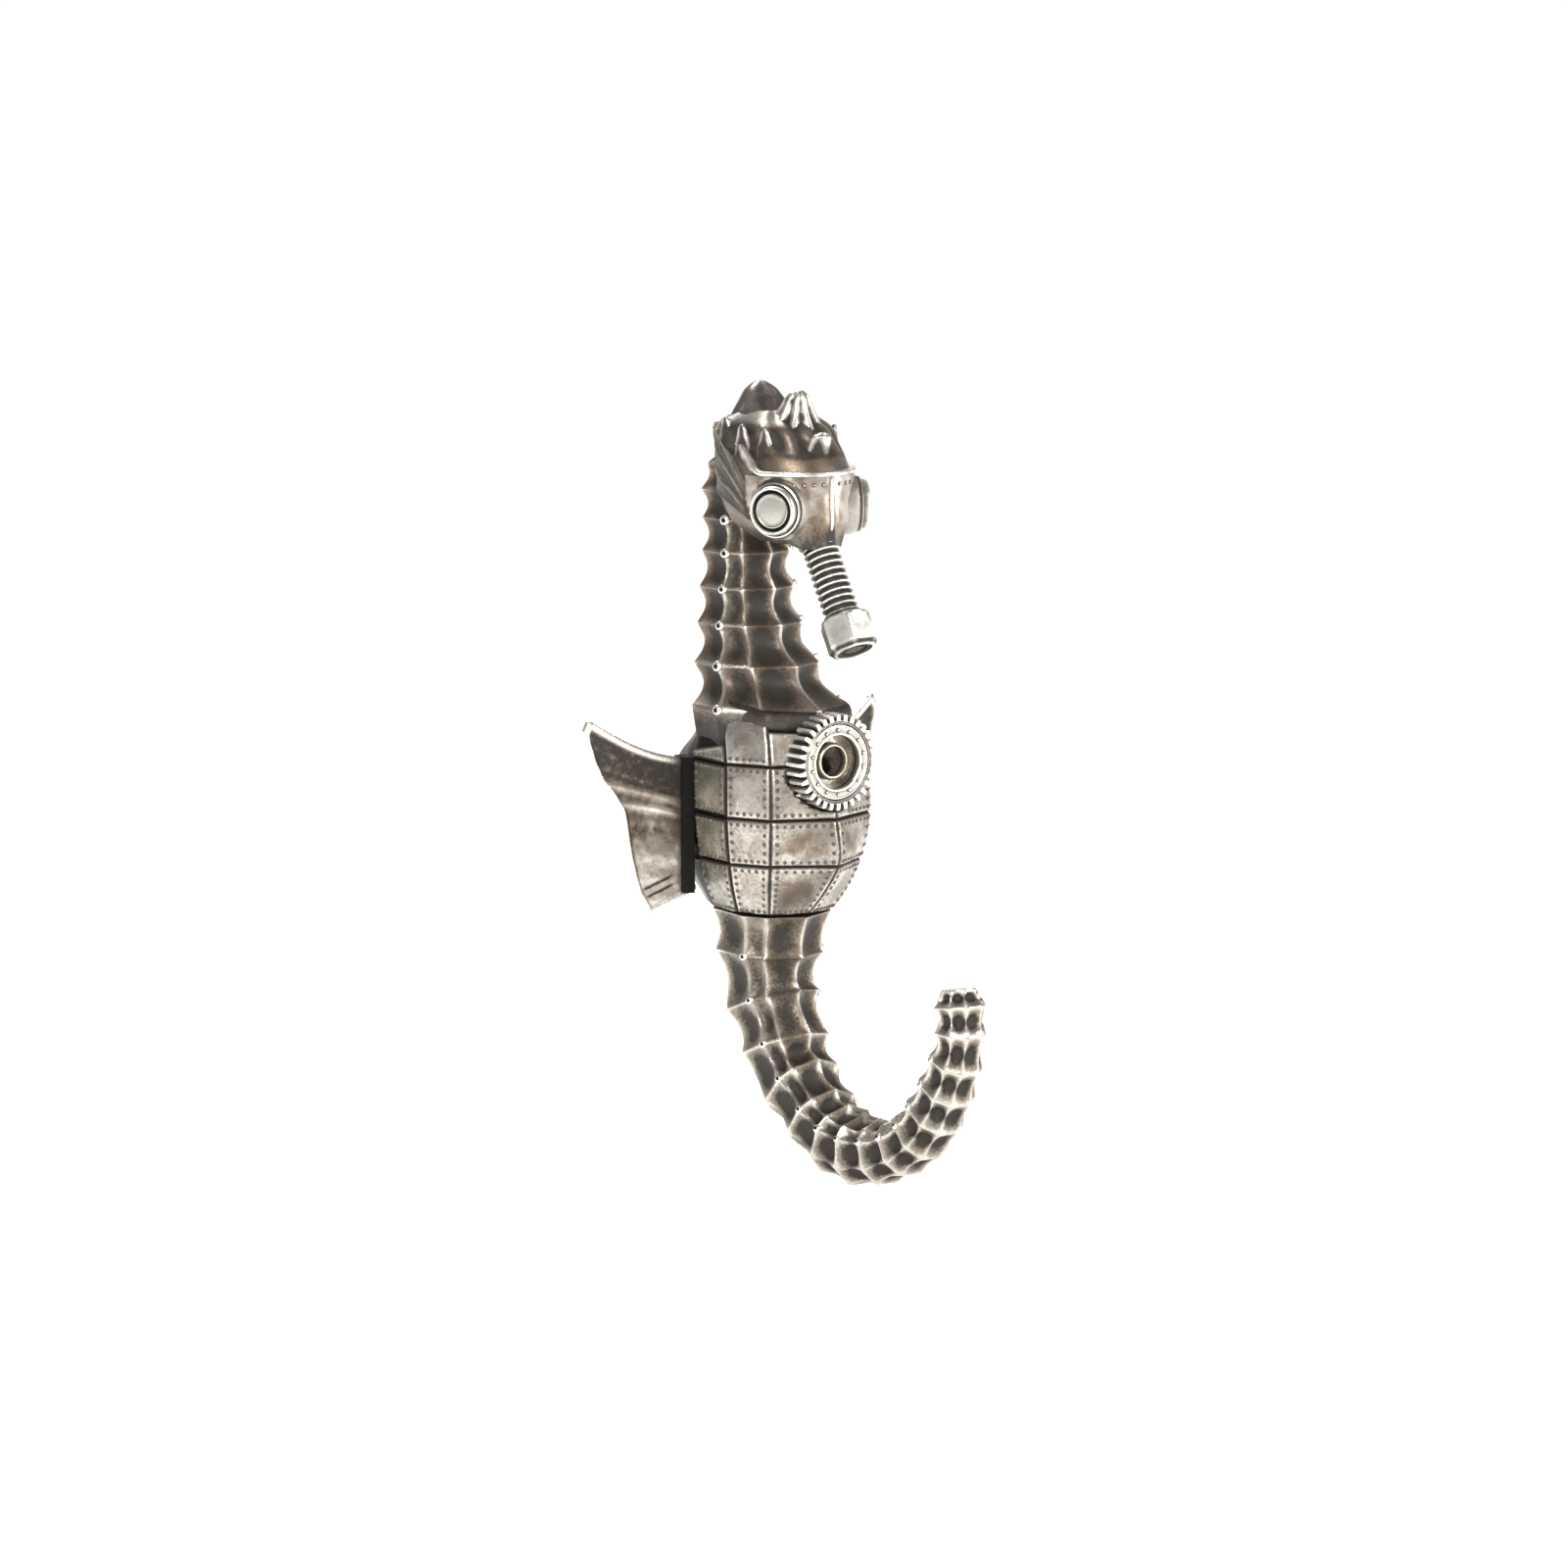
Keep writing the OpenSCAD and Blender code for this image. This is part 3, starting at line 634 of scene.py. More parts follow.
@dataclass(frozen=True)
class StudTree:
    """Geometry Nodes tree that stands one small fitting on each point of a cloud."""

    name: str
    sides: int = 14
    rings: int = 8
    disc_depth: float = 2.02
    sizes: tuple[float, float] = (0.88, 1.1)

    def build(self) -> bpy.types.NodeTree:
        """Builds the tree.

        Returns:
            A tree with the inputs Body, the disc's material, Radius, Height, the disc's radius and Seed: a
            domed boss in the first material, with a disc on top of it in the second, dark where it is painted
            shade inside an eyelet and bright where it is a painted highlight on a rivet's crown.
        """
        group = bpy.data.node_groups.new(self.name, "GeometryNodeTree")
        for name, kind in (
            ("Points", "Geometry"), ("Body", "Material"), ("Hole", "Material"), ("Radius", "Float"),
            ("Height", "Float"), ("Hole radius", "Float"), ("Seed", "Int"),
        ):
            group.interface.new_socket(name=name, in_out="INPUT", socket_type=f"NodeSocket{kind}")
        group.interface.new_socket(name="Geometry", in_out="OUTPUT", socket_type="NodeSocketGeometry")
        link = group.links.new

        def add(kind: str, **settings: object) -> bpy.types.Node:
            """Adds a node with its settings."""
            node = group.nodes.new(kind)
            for key, value in settings.items():
                setattr(node, key, value)
            return node

        start, end = add("NodeGroupInput"), add("NodeGroupOutput")
        boss = add("GeometryNodeMeshUVSphere")
        boss.inputs["Segments"].default_value, boss.inputs["Rings"].default_value = self.sides, self.rings
        boss.inputs["Radius"].default_value = 1.0
        size = add("ShaderNodeCombineXYZ")
        link(start.outputs["Radius"], size.inputs[0])
        link(start.outputs["Radius"], size.inputs[1])
        link(start.outputs["Height"], size.inputs[2])
        flat = add("GeometryNodeTransform")
        link(boss.outputs["Mesh"], flat.inputs["Geometry"])
        link(size.outputs[0], flat.inputs["Scale"])
        body = add("GeometryNodeSetMaterial")
        link(flat.outputs[0], body.inputs["Geometry"])
        link(start.outputs["Body"], body.inputs["Material"])
        # The disc on top of the boss paints shade inside an eyelet when dark, and a highlight on a rivet's
        # crown when bright.
        disc = add("GeometryNodeMeshCylinder")
        disc.inputs["Vertices"].default_value = self.sides
        link(start.outputs["Hole radius"], disc.inputs["Radius"])
        depth = add("ShaderNodeMath", operation="MULTIPLY")
        link(start.outputs["Height"], depth.inputs[0])
        depth.inputs[1].default_value = self.disc_depth
        link(depth.outputs[0], disc.inputs["Depth"])
        painted_spot = add("GeometryNodeSetMaterial")
        link(disc.outputs["Mesh"], painted_spot.inputs["Geometry"])
        link(start.outputs["Hole"], painted_spot.inputs["Material"])
        fitting = add("GeometryNodeJoinGeometry")
        link(painted_spot.outputs[0], fitting.inputs[0])
        link(body.outputs[0], fitting.inputs[0])

        facing_way = add("GeometryNodeInputNamedAttribute", data_type="FLOAT_VECTOR")
        facing_way.inputs["Name"].default_value = "facing"
        turn = add("FunctionNodeAlignRotationToVector", axis="Z")
        link(facing_way.outputs["Attribute"], turn.inputs["Vector"])
        chance = add("FunctionNodeRandomValue", data_type="FLOAT")
        low, high = [s for s in chance.inputs if s.type == "VALUE" and s.enabled][:2]
        low.default_value, high.default_value = self.sizes
        link(start.outputs["Seed"], chance.inputs["Seed"])
        stand = add("GeometryNodeInstanceOnPoints")
        link(start.outputs["Points"], stand.inputs["Points"])
        link(fitting.outputs[0], stand.inputs["Instance"])
        link(turn.outputs[0], stand.inputs["Rotation"])
        link([s for s in chance.outputs if s.enabled][0], stand.inputs["Scale"])
        real = add("GeometryNodeRealizeInstances")
        link(stand.outputs[0], real.inputs[0])
        link(real.outputs[0], end.inputs[0])
        return group


@dataclass
class Studs:
    """Clouds of small fittings, each made one plain mesh."""

    finishes: Finishes
    tree: bpy.types.NodeTree = field(default_factory=lambda: StudTree("stud_on_points").build())
    plain_tree: bpy.types.NodeTree = field(default_factory=lambda: StudTree("rivet_on_points", 8, 4).build())

    def place(self, name: str, node: str, points: Sequence[Vector], ways: Sequence[Vector],
              sizes: tuple[float, float, float], body: str, dark: str = "dark_metal",
              small: bool = False) -> None:
        """Stands a stud on every point, all in one piece.

        Args:
            name: the piece's name.
            node: the frame's node that it replaces.
            points: places in millimetres.
            ways: the direction that each stud faces.
            sizes: a stud's radius, how far it stands out, and the radius of the disc on top.
            body: finish of the stud.
            dark: finish of the disc on top; dark_metal there is painted shade inside an eyelet, bright_pewter
                a painted highlight on a rivet's crown.
            small: true for hundreds of studs, which then have few faces.
        """
        radius, height, painted_spot = sizes
        mesh = bpy.data.meshes.new(name)
        mesh.from_pydata([tuple(Vector(p) * MM) for p in points], [], [])
        layer = mesh.attributes.new("facing", "FLOAT_VECTOR", "POINT")
        layer.data.foreach_set("vector", np.array([tuple(w) for w in ways], np.float32).ravel())
        piece = linked(name, mesh)
        grow = piece.modifiers.new("studs", "NODES")
        tree = self.plain_tree if small else self.tree
        grow.node_group = tree
        sockets = {s.name: s.identifier for s in tree.interface.items_tree if s.in_out == "INPUT"}
        values = {"Body": self.finishes[body], "Hole": self.finishes[dark], "Radius": radius * MM,
                  "Height": height * MM, "Hole radius": painted_spot * MM, "Seed": len(points)}
        for key, value in values.items():
            grow[sockets[key]] = value
        settled(piece)
        piece.data.shade_smooth()
        piece.data.set_sharp_from_angle(angle=math.radians(45))
        LOG.info("%s: %d studs", name, len(points))
        stand_for(piece, node)


# ---------------------------------------------------------------- neck and tail


@dataclass
class RingedCasting:
    """Casting of ringed sections along a centre line, with ridges, scalloped panels and pits.

    Apart from the table of rings, the tables run along the casting's own distance. Ridges and
    panels are counted from the keel to the back, and both sides share their values.

    Args:
        ring_table: the distance at which each numbered ring stands.
        forward: the centre line's distance from the wall.
        height: the centre line's height.
        radius: radius at a ring.
        keel: radius at the keel, as a share of the others.
        ridges: angles of the ridges on one side.
        dip: how far the section draws in between two rings, as a share.
        scallop: depth of a panel's hollow, as a share of the radius.
        pit: depth of the round pit in each panel.
        pit_width: the pit's width, as a share of the panel.
        pit_length: the pit's length, as a share of the panel.
        ridge_bead: how far the bead along a ridge stands out.
        ring_bead: how far the bead along a ring stands out.
        bead_width: width of the beads.
        across: points across a panel that is 40 degrees wide.
        along: points from ring to ring.
        seed: fixes the panels' tones and the unevenness.
        level: true where the sections lie flat instead of across the centre line.
        panel_tones: how brown each panel is.
        panel_crests: how strong the ring's bead is over each panel.
        ridge_shine: how strong the bead of each ridge is.
        ridge_shift: degrees by which the third ridge moves round.
        bead_growth: share of the beads' width.
        pit_growth: share of the pits' depth.
        pit_shortening: share of the pits' length.
        narrow_pit: share of the hollow and pit in the second panel from the keel.
        panel_depths: how dark each panel's hollow is.
        most_rings: how many rings have tones of their own.
    """

    ring_table: Table
    forward: Table
    height: Table
    radius: Table
    keel: Table
    ridges: tuple[float, ...] = (0, 42, 66, 115, 155)
    dip: float = 0.1
    scallop: float = 0.09
    pit: float = 0.0
    pit_width: float = 0.8
    pit_length: float = 0.78
    ridge_bead: float = 0.4
    ring_bead: float = 0.35
    bead_width: float = 0.4
    across: int = 15
    along: int = 16
    seed: int = 3
    level: bool = False
    panel_tones: tuple[float, ...] = (0.95, 0.3, 0.75, 1.0, 1.0)
    panel_crests: tuple[float, ...] = (0.3, 1.0, 0.4, 0.35, 0.3)
    ridge_shine: tuple[float, ...] = (0.9, 0.7, 0.9, 0.2, 0.1)
    ridge_shift: Table = ((0, 0), (1, 0))
    bead_growth: Table = ((0, 1), (1, 1))
    pit_growth: Table = ((0, 1), (1, 1))
    pit_shortening: Table = ((0, 1), (1, 1))
    narrow_pit: Table = ((0, 1), (1, 1))
    panel_depths: tuple[float, ...] = (1.0, 1.0, 1.0, 1.0, 1.0)
    most_rings: int = 64

    def distance(self, ring: np.ndarray) -> np.ndarray:
        """Distance along the casting of some rings."""
        return np.interp(ring, *np.array(self.ring_table, float).T)

    def spine(self, ring: np.ndarray) -> tuple[np.ndarray, np.ndarray, np.ndarray]:
        """Centre line at some rings.

        Args:
            ring: ring numbers, whole on a crest.

        Returns:
            Centres as forward and height, the keel's direction as forward and height, and radii.
        """
        s = self.distance(ring)
        centre = np.stack([curve(self.forward, s), curve(self.height, s)], -1)
        ahead = np.stack([curve(t, s + 1.5) - curve(t, s - 1.5) for t in (self.forward, self.height)], -1)
        ahead /= np.linalg.norm(ahead, axis=-1, keepdims=True)
        keel_way = np.stack([-ahead[:, 1], ahead[:, 0]], -1)
        if self.level:
            keel_way = np.tile([1.0, 0.0], (len(ring), 1))
        return centre, keel_way, curve(self.radius, s)

    def corners(self) -> list[float]:
        """Angles of all ridges round the section."""
        return [*self.ridges, *(360 - a for a in reversed(self.ridges) if a)]

    def skin(self, first: float, last: float) -> tuple[Grid, Marks]:
        """Surface between two rings.

        Args:
            first: ring number where it starts.
            last: ring number where it ends.

        Returns:
            The grid of points and its marks.
        """
        whole = range(math.floor(first), math.ceil(last))
        ring = np.array([w + q for w in whole for q in gathered(self.along, 0.6) if first < w + q < last])
        ring = np.concatenate([[first], ring, [last]])
        centre, keel_way, radius = self.spine(ring)
        s = self.distance(ring)
        spacing = np.gradient(s, ring)
        q = ring % 1
        waist = np.abs(np.sin(np.pi * q)) ** 1.1
        from_ring = np.minimum(q, 1 - q) * spacing
        angles = self.corners()
        rng = np.random.default_rng(self.seed)
        tones = rng.uniform(0.1, 1.0, (len(angles), self.most_rings))
        lateral, outward, recess, tone = [], [], [], []
        shift = curve(self.ridge_shift, s)
        bead_wide = self.bead_width * curve(self.bead_growth, s)
        pitted = curve(self.pit_growth, s)[:, None]
        pit_length = self.pit_length * curve(self.pit_shortening, s)[:, None]
        narrow = curve(self.narrow_pit, s)[:, None]
        shine = [*self.ridge_shine, *reversed(self.ridge_shine[1:])]
        for i, start in enumerate(angles):
            after = (i + 1) % len(angles)
            stop = angles[after]
            wide = (stop - start) % 360
            p = gathered(max(7, round(self.across * wide / 40)), 0.7)[None, :]
            ends = []
            for a in (start, stop):
                share = curve(self.keel, s) if a % 360 == 0 else np.ones_like(s)
                r = radius * share * (1 - self.dip * waist)
                turn = np.radians(a + shift * ((a == self.ridges[2]) - (a == 360 - self.ridges[2])))
                ends.append(r[:, None] * np.stack([np.sin(turn), np.cos(turn)], -1))
            flat = ends[0][:, None] * (1 - p[..., None]) + ends[1][:, None] * p[..., None]
            length = np.linalg.norm(ends[1] - ends[0], axis=-1)[:, None]
            out = flat / np.linalg.norm(flat, axis=-1, keepdims=True)
            half = min(i, len(angles) - 1 - i)
            open_share = narrow if half == 1 else np.ones_like(narrow)
            hollow = np.sin(np.pi * p) ** 0.8 * open_share
            oval = 1 - ((2 * p - 1) / self.pit_width) ** 2
            oval = oval - ((2 * q[:, None] - 1) / pit_length) ** 2
            pit = step(0.0, 0.35, oval) * pitted * open_share
            from_ridge = np.minimum(p, 1 - p) * length
            bead = bell(from_ridge, np.minimum(bead_wide, 0.55)[:, None])
            crest = bell(from_ring, bead_wide * 1.2)[:, None]
            glow = bead * (shine[i] * (1 - p) + shine[after] * p)
            line = crest * self.panel_crests[half]
            lift = (self.ridge_bead * glow + self.ring_bead * line * (1 - bead)
                    - self.scallop * radius[:, None] * hollow * (0.35 + 0.65 * waist[:, None])
                    - self.pit * pit)
            flat = flat + out * lift[..., None]
            lateral.append(flat[..., 0])
            outward.append(flat[..., 1])
            chance = tones[i, np.clip(np.floor(ring).astype(int) + 2, 0, self.most_rings - 1)][:, None]
            panel = self.panel_tones[half] * (0.7 + 0.3 * chance)
            dark = (self.panel_depths[half] * (0.34 + 0.3 * waist[:, None]) * hollow
                    + 0.7 * pit * (self.pit > 0) + 0.18 + 0.25 * panel * open_share
                    - 0.75 * glow - 0.6 * line)
            recess.append(np.clip(dark, 0, 1))
            tone.append(panel * (1 - glow) * (1 - line) + 0 * lift)
        x, n = np.concatenate(lateral, 1), np.concatenate(outward, 1)
        forward = centre[:, :1] + keel_way[:, :1] * n
        height = centre[:, 1:] + keel_way[:, 1:] * n
        grid = np.stack([x, -np.maximum(forward, WALL_GAP), height], -1)
        grid = grid + 0.07 * ripples(grid, 5, self.seed)[..., None] * np.array([1.0, 0.0, 0.0])
        return grid, {"recess": np.concatenate(recess, 1), "tone": np.concatenate(tone, 1)}

    def crossings(self, rings: Iterable[float], angle: float, sink: float) -> tuple[Vectors, Vectors]:
        """Places where a ridge crosses some rings, on both sides.

        Args:
            rings: ring numbers.
            angle: the ridge's angle.
            sink: how far below the crest the places lie.

        Returns:
            The places and the directions that face out there.
        """
        points, ways = [], []
        ring = np.array(list(rings), float)
        centre, keel_way, radius = self.spine(ring)
        shift = curve(self.ridge_shift, self.distance(ring))
        for (f, z), (kf, kz), r, more in zip(centre, keel_way, radius, shift):
            turn = math.radians(angle + more)
            for side in (-1, 1):
                x, n = side * math.sin(turn), math.cos(turn)
                way = Vector((x, -kf * n, kz * n))
                points.append(Vector((0, -f, z)) + way * (r - sink))
                ways.append(way)
        return points, ways


@dataclass
class Neck:
    """Neck casting with its eyelet studs."""

    finishes: Finishes
    studs: Studs
    top_ring: float = 7.9
    foot_centre: tuple[float, float, float] = (0.0, -20.0, -0.5)
    foot_share: float = 0.86
    foot_rows: int = 14
    eyelet_ridge: float = 66.0
    eyelet_sizes: tuple[float, float, float] = (1.35, 0.8, 0.62)
    casting: RingedCasting = field(default_factory=lambda: RingedCasting(
        ring_table=((-1, 2), (0, 12), (1, 22.3), (2, 32.1), (3, 41.1), (4, 50.1), (5, 58.4), (6, 65.6),
                    (7, 72.4), (8, 78)),
        forward=((2, 20.2), (10, 20.2), (20, 15.5), (30, 12.2), (40, 10.6), (50, 10.2), (72, 10.6), (78, 13)),
        height=((2, 2), (78, 78)),
        radius=((2, 20), (10, 20), (20, 16.7), (30, 13.9), (40, 12.3), (50, 11.3), (58, 10.8), (72, 10.1),
                (75.5, 8.4), (78, 4)),
        keel=((2, 1.12), (12, 1.12), (30, 1), (78, 1)),
        ridge_shift=((2, 12), (12, 12), (30, 6), (45, 0), (78, 0)), dip=0.15, scallop=0.1, ridge_bead=0.4,
        ring_bead=0.35, across=18, along=18, level=True))

    def build(self) -> None:
        """Makes the casting and its studs."""
        grid, marks = self.casting.skin(0.0, self.top_ring)
        rows = np.linspace(0, 1, self.foot_rows)[:-1, None, None]
        shrink = np.array([self.foot_share, self.foot_share, 0])
        foot = (grid[0] - self.foot_centre) * shrink + self.foot_centre
        skirt = foot * (1 - rows ** 0.6) + grid[0] * rows ** 0.6
        skirt[..., 1] = np.minimum(skirt[..., 1], -WALL_GAP)
        skirt[..., 2] = self.foot_centre[2] + (grid[0][:, 2] - self.foot_centre[2]) * rows[..., 0]
        grid = np.concatenate([skirt, grid])
        dark = 0.9 - 0.5 * rows[..., 0] ** 4 * np.ones(grid.shape[1])
        # Painted shade under the chin: the top front of the neck is darkened through its recess mark.
        chin_shadow = step(55, 62, grid[..., 2]) * step(-8, -12, grid[..., 1])
        recess = np.concatenate([dark, marks["recess"]]) + 0.5 * chin_shadow
        tone = np.concatenate([0 * dark, marks["tone"]])
        neck = tube("neck_skin", grid, {"recess": np.clip(recess, 0, 1), "tone": tone})
        self.finishes.finish(neck, "neck_pewter", "neck_casting")
        points, ways = self.casting.crossings(range(6), self.eyelet_ridge, 0.1)
        # Each eyelet's dark disc is painted shade inside it.
        self.studs.place("neck_eyelets", "neck_studs", points, ways, self.eyelet_sizes, "bright_pewter")


@dataclass
class Tail:
    """Tail stem, hook and tip with their studs."""

    finishes: Finishes
    studs: Studs
    stem_end: float = 2.787
    hook_end: float = 12.8125
    tip_end: float = 15
    eyelet_ridge: float = 66.0
    eyelet_sizes: tuple[float, float, float] = (1.05, 0.75, 0.45)
    casting: RingedCasting = field(default_factory=lambda: RingedCasting(
        ring_table=((-1, -5), (0, 5.7), (1, 19.2), (2, 30.8), (3, 43), (4, 53.5), (5, 63), (6, 71.8),
                    (7, 80.4), (8, 89), (9, 97.4), (10, 105.5), (11, 113.5), (12, 121.5), (13, 129.5),
                    (14, 136.2), (15, 140.6)),
        forward=((-5, 20.9), (-3, 20.8), (8.5, 20), (18.2, 21.2), (28.3, 25.7), (35.3, 28.5), (48, 37.5),
                 (59, 46.5), (70.8, 57.9), (83.9, 70.9), (97.7, 83.2), (108.7, 90.5), (118.5, 95.4),
                 (127, 98.2), (134.4, 98.4), (141, 97.6)),
        height=((-5, -40), (-3, -42), (8.5, -53.3), (18.2, -62.9), (28.3, -72), (35.3, -78.4), (48, -87.3),
                (59, -93.7), (70.8, -96.7), (83.9, -95.2), (97.7, -88.9), (108.7, -80.6), (118.5, -72.1),
                (127, -64.3), (134.4, -56.9), (141, -50.4)),
        radius=((-5, 14.9), (0, 15.3), (5.7, 13.7), (18.2, 12.1), (28.3, 11.3), (35.3, 11), (48, 9.9),
                (59, 9.7), (70.8, 9.4), (83.9, 8.1), (108.7, 7.5), (118.5, 6.9), (127, 6.2), (134.4, 6.3),
                (138.5, 5.9), (141, 3.8)),
        keel=((-5, 1), (141, 1)), dip=0.14, scallop=0.06, pit=0.75, ridge_bead=0.35, ring_bead=0.55,
        bead_growth=((-5, 0.9), (30, 1.1), (55, 1.7), (90, 2.1), (141, 2.2)),
        pit_growth=((-5, 0.05), (25, 0.08), (50, 0.5), (75, 1), (141, 1)),
        pit_shortening=((-5, 1), (60, 0.95), (90, 0.72), (141, 0.62)),
        narrow_pit=((-5, 1), (62, 1), (84, 0), (141, 0)), pit_width=1.02,
        panel_depths=(0.66, 0.6, 1.15, 1.0, 1.0), panel_tones=(0.95, 0.3, 0.12, 0.3, 0.3),
        panel_crests=(0.6, 0.9, 0.8, 0.8, 0.8), ridge_shine=(0.9, 0.8, 0.95, 0.5, 0.4),
        across=12, along=16, seed=5))

    def build(self) -> None:
        """Makes the three castings and their studs."""
        parts = (("stem", -1.0, self.stem_end), ("hook", self.stem_end, self.hook_end),
                 ("tip", self.hook_end, self.tip_end))
        for name, first, last in parts:
            piece = tube(f"tail_{name}_skin", *self.casting.skin(first, last))
            self.finishes.finish(piece, "tail_pewter", f"tail_{name}")
        points, ways = self.casting.crossings(range(13), self.eyelet_ridge, 0.15)
        # Each eyelet's dark disc is painted shade inside it.
        self.studs.place("tail_eyelets", "tail_studs", points, ways, self.eyelet_sizes, "bright_pewter")


# ---------------------------------------------------------------- belly


@dataclass
class Belly:
    """Core of the belly, with the armour plates, their rivets and the collar.

    The tables give half-widths (x) and distances forward (f) of the outline's corners by height.
    """

    finishes: Finishes
    studs: Studs
    keel_f: Table = ((-42, 34.2), (-32, 44.8), (-26, 49.3), (-15, 48.5), (0, 46.9), (12, 42.4))
    front_x: Table = ((-42, 9.2), (-32, 13.2), (-20, 15.5), (0, 15), (12, 13.4))
    front_f: Table = ((-42, 32.3), (-32, 37.5), (-20, 41), (0, 40), (12, 36.1))
    side_x: Table = ((-42, 12.6), (-32, 18), (-20, 20.6), (0, 20), (6, 18.8), (12, 15.6))
    side_f: Table = ((-42, 24), (-32, 28), (-20, 29.4), (0, 28), (12, 23.5))
    rear_x: Table = ((-42, 12), (-32, 17), (-20, 19.6), (0, 19.4), (12, 19.2))
    rear_f: Table = ((-42, 14), (-20, 14.6), (12, 12))
    back_x: Table = ((-42, 4), (-36, 8.5), (-30, 12.5), (-20, 15.5), (-2, 14.6), (3, 10), (12, 9))
    middle: float = 20.0
    row_edges: tuple[float, ...] = (-1, -14.5, -26.5, -40)
    plate_tops: tuple[tuple[float, float], ...] = ((7, 7.9), (9.4, 10.8), (4, 1.2))
    rows: tuple[str, ...] = ("top", "upper", "lower", "bottom")
    columns: tuple[str, ...] = ("front", "side", "rear")
    collar_drop: float = 2.5
    seam: float = 0.34
    wide_seam: float = 1.3
    belly_top: float = 12.0
    column_widths: tuple[float, ...] = (15.0, 12.5, 15.0)
    plate_depth: float = 1.25
    rivet_inset: float = 1.25
    rivet_pitch: float = 2.15
    rivet_sizes: tuple[float, float, float] = (0.56, 0.34, 0.17)
    bare_radius: float = 13.6
    bare_front: float = 38.0

    def corner(self, column: int, z: np.ndarray) -> tuple[np.ndarray, np.ndarray]:
        """Half-width and distance forward of one corner of the outline.

        Args:
            column: 0 at the keel, then 1, 2 and 3 round to the rear of the plates, and 4 at the wall.
            z: heights.

        Returns:
            The half-widths and the distances.
        """
        wide = (((-42, 0), (12, 0)), self.front_x, self.side_x, self.rear_x, self.back_x)[column]
        forward = (self.keel_f, self.front_f, self.side_f, self.rear_f, ((-42, 0), (12, 0)))[column]
        return curve(wide, z), curve(forward, z)

    def surface(self, column: int, u: np.ndarray, z: np.ndarray, share: float = 1.0) -> Grid:
        """Places on the belly, or inside it at a smaller share."""
        (x0, f0), (x1, f1) = self.corner(column, z), self.corner(column + 1, z)
        x, f = x0 * (1 - u) + x1 * u, f0 * (1 - u) + f1 * u
        f = np.where(f > self.middle, self.middle + (f - self.middle) * share, f)
        return np.stack([x * share, -f, z], -1)

    def plate_point(self, row: int, column: int, u: np.ndarray, v: np.ndarray) -> Grid:
        """Place on a plate from shares across it and up it."""
        low = self.row_edges[row] + self.seam / 2
        start, end = self.plate_tops[column] if row == 0 else (self.row_edges[row - 1],) * 2
        high = start * (1 - u) + end * u - self.seam / 2
        return self.surface(column, u, low + v * (high - low))

    def plate(self, row: int, column: int, side: Side) -> None:
        """Makes one plate: pillowed, with rolled edges that dip into the seams.

        Args:
            row: 0 at the top.
            column: 0 beside the keel.
            side: the side of the body.
        """
        rear = column == 2
        seam_u = (self.wide_seam if rear else self.seam) / 2 / self.column_widths[column]
        edge = gathered(16, 0.8)
        across = np.append(seam_u + (1 - 2 * seam_u) * edge, 1 - seam_u)
        along = np.append(edge, 1.0)
        v, u = np.meshgrid(along, across, indexing="ij")
        if rear and 0 < row < 3:
            v = 0.035 + 0.93 * v
        base = self.plate_point(row, column, u, v)
        du = self.plate_point(row, column, u + 0.01, v) - self.plate_point(row, column, u - 0.01, v)
        dv = self.plate_point(row, column, u, v + 0.01) - self.plate_point(row, column, u, v - 0.01)
        out = np.cross(du, dv)
        out /= np.linalg.norm(out, axis=-1, keepdims=True)
        out *= np.sign(out[..., :1] + 1e-9) if column else -np.sign(out[..., 1:2])
        wide = np.linalg.norm(du, axis=-1) * 50
        tall = np.linalg.norm(dv, axis=-1) * 50
        p, q = (u - across[0]) / (across[-1] - across[0]), (v - v.min()) / (v.max() - v.min())
        from_edge = np.minimum(np.minimum(p, 1 - p) * wide, np.minimum(q, 1 - q) * tall)
        pillow = (np.sin(np.pi * p) * np.sin(np.pi * q)) ** 0.6
        rolled = step(0.0, 0.7, from_edge)
        lip = bell(from_edge - 0.65, 0.35)
        seed = 11 + row * 3 + column
        dents = ripples(base, 4.5, seed)
        lift = 0.4 * rolled + 0.25 * pillow - 0.5 + 0.1 * lip + 0.1 * dents * rolled
        mirror = np.array([side.value, 1.0, 1.0])
        outer = (base + out * lift[..., None]) * mirror
        inner = (base - out * self.plate_depth) * mirror
        centre = step(1.6, 4.2, from_edge)
        brown = (1.0, 0.45, 0.2)[column] * (0.8, 0.65, 1.0, 0.8)[row]
        dark_edge, darker = (0.75, 0.12) if rear else (0.5, 0.0)
        recess = 1 - step(0.0, dark_edge, from_edge) - 0.3 * lip + 0.1 * (1 - centre)
        recess = recess + 0.08 * dents + darker
        where = f"{self.rows[row]}_{self.columns[column]}"
        plate = shell(f"plate_{where}_{side.label}", outer, inner, {
            "recess": np.clip(recess, 0, 1), "tone": np.clip(brown * centre, 0, 1)})
        if row < 2 and column < 2:
            cut_gear_space(plate)
        self.finishes.finish(plate, "armour_pewter" if rear else "plate_pewter", f"plates_{where}")

    def cells(self) -> list[tuple[int, int]]:
        """Row and column of every plate on one side."""
        return [(row, column) for row in range(len(self.rows)) for column in range(len(self.columns))]

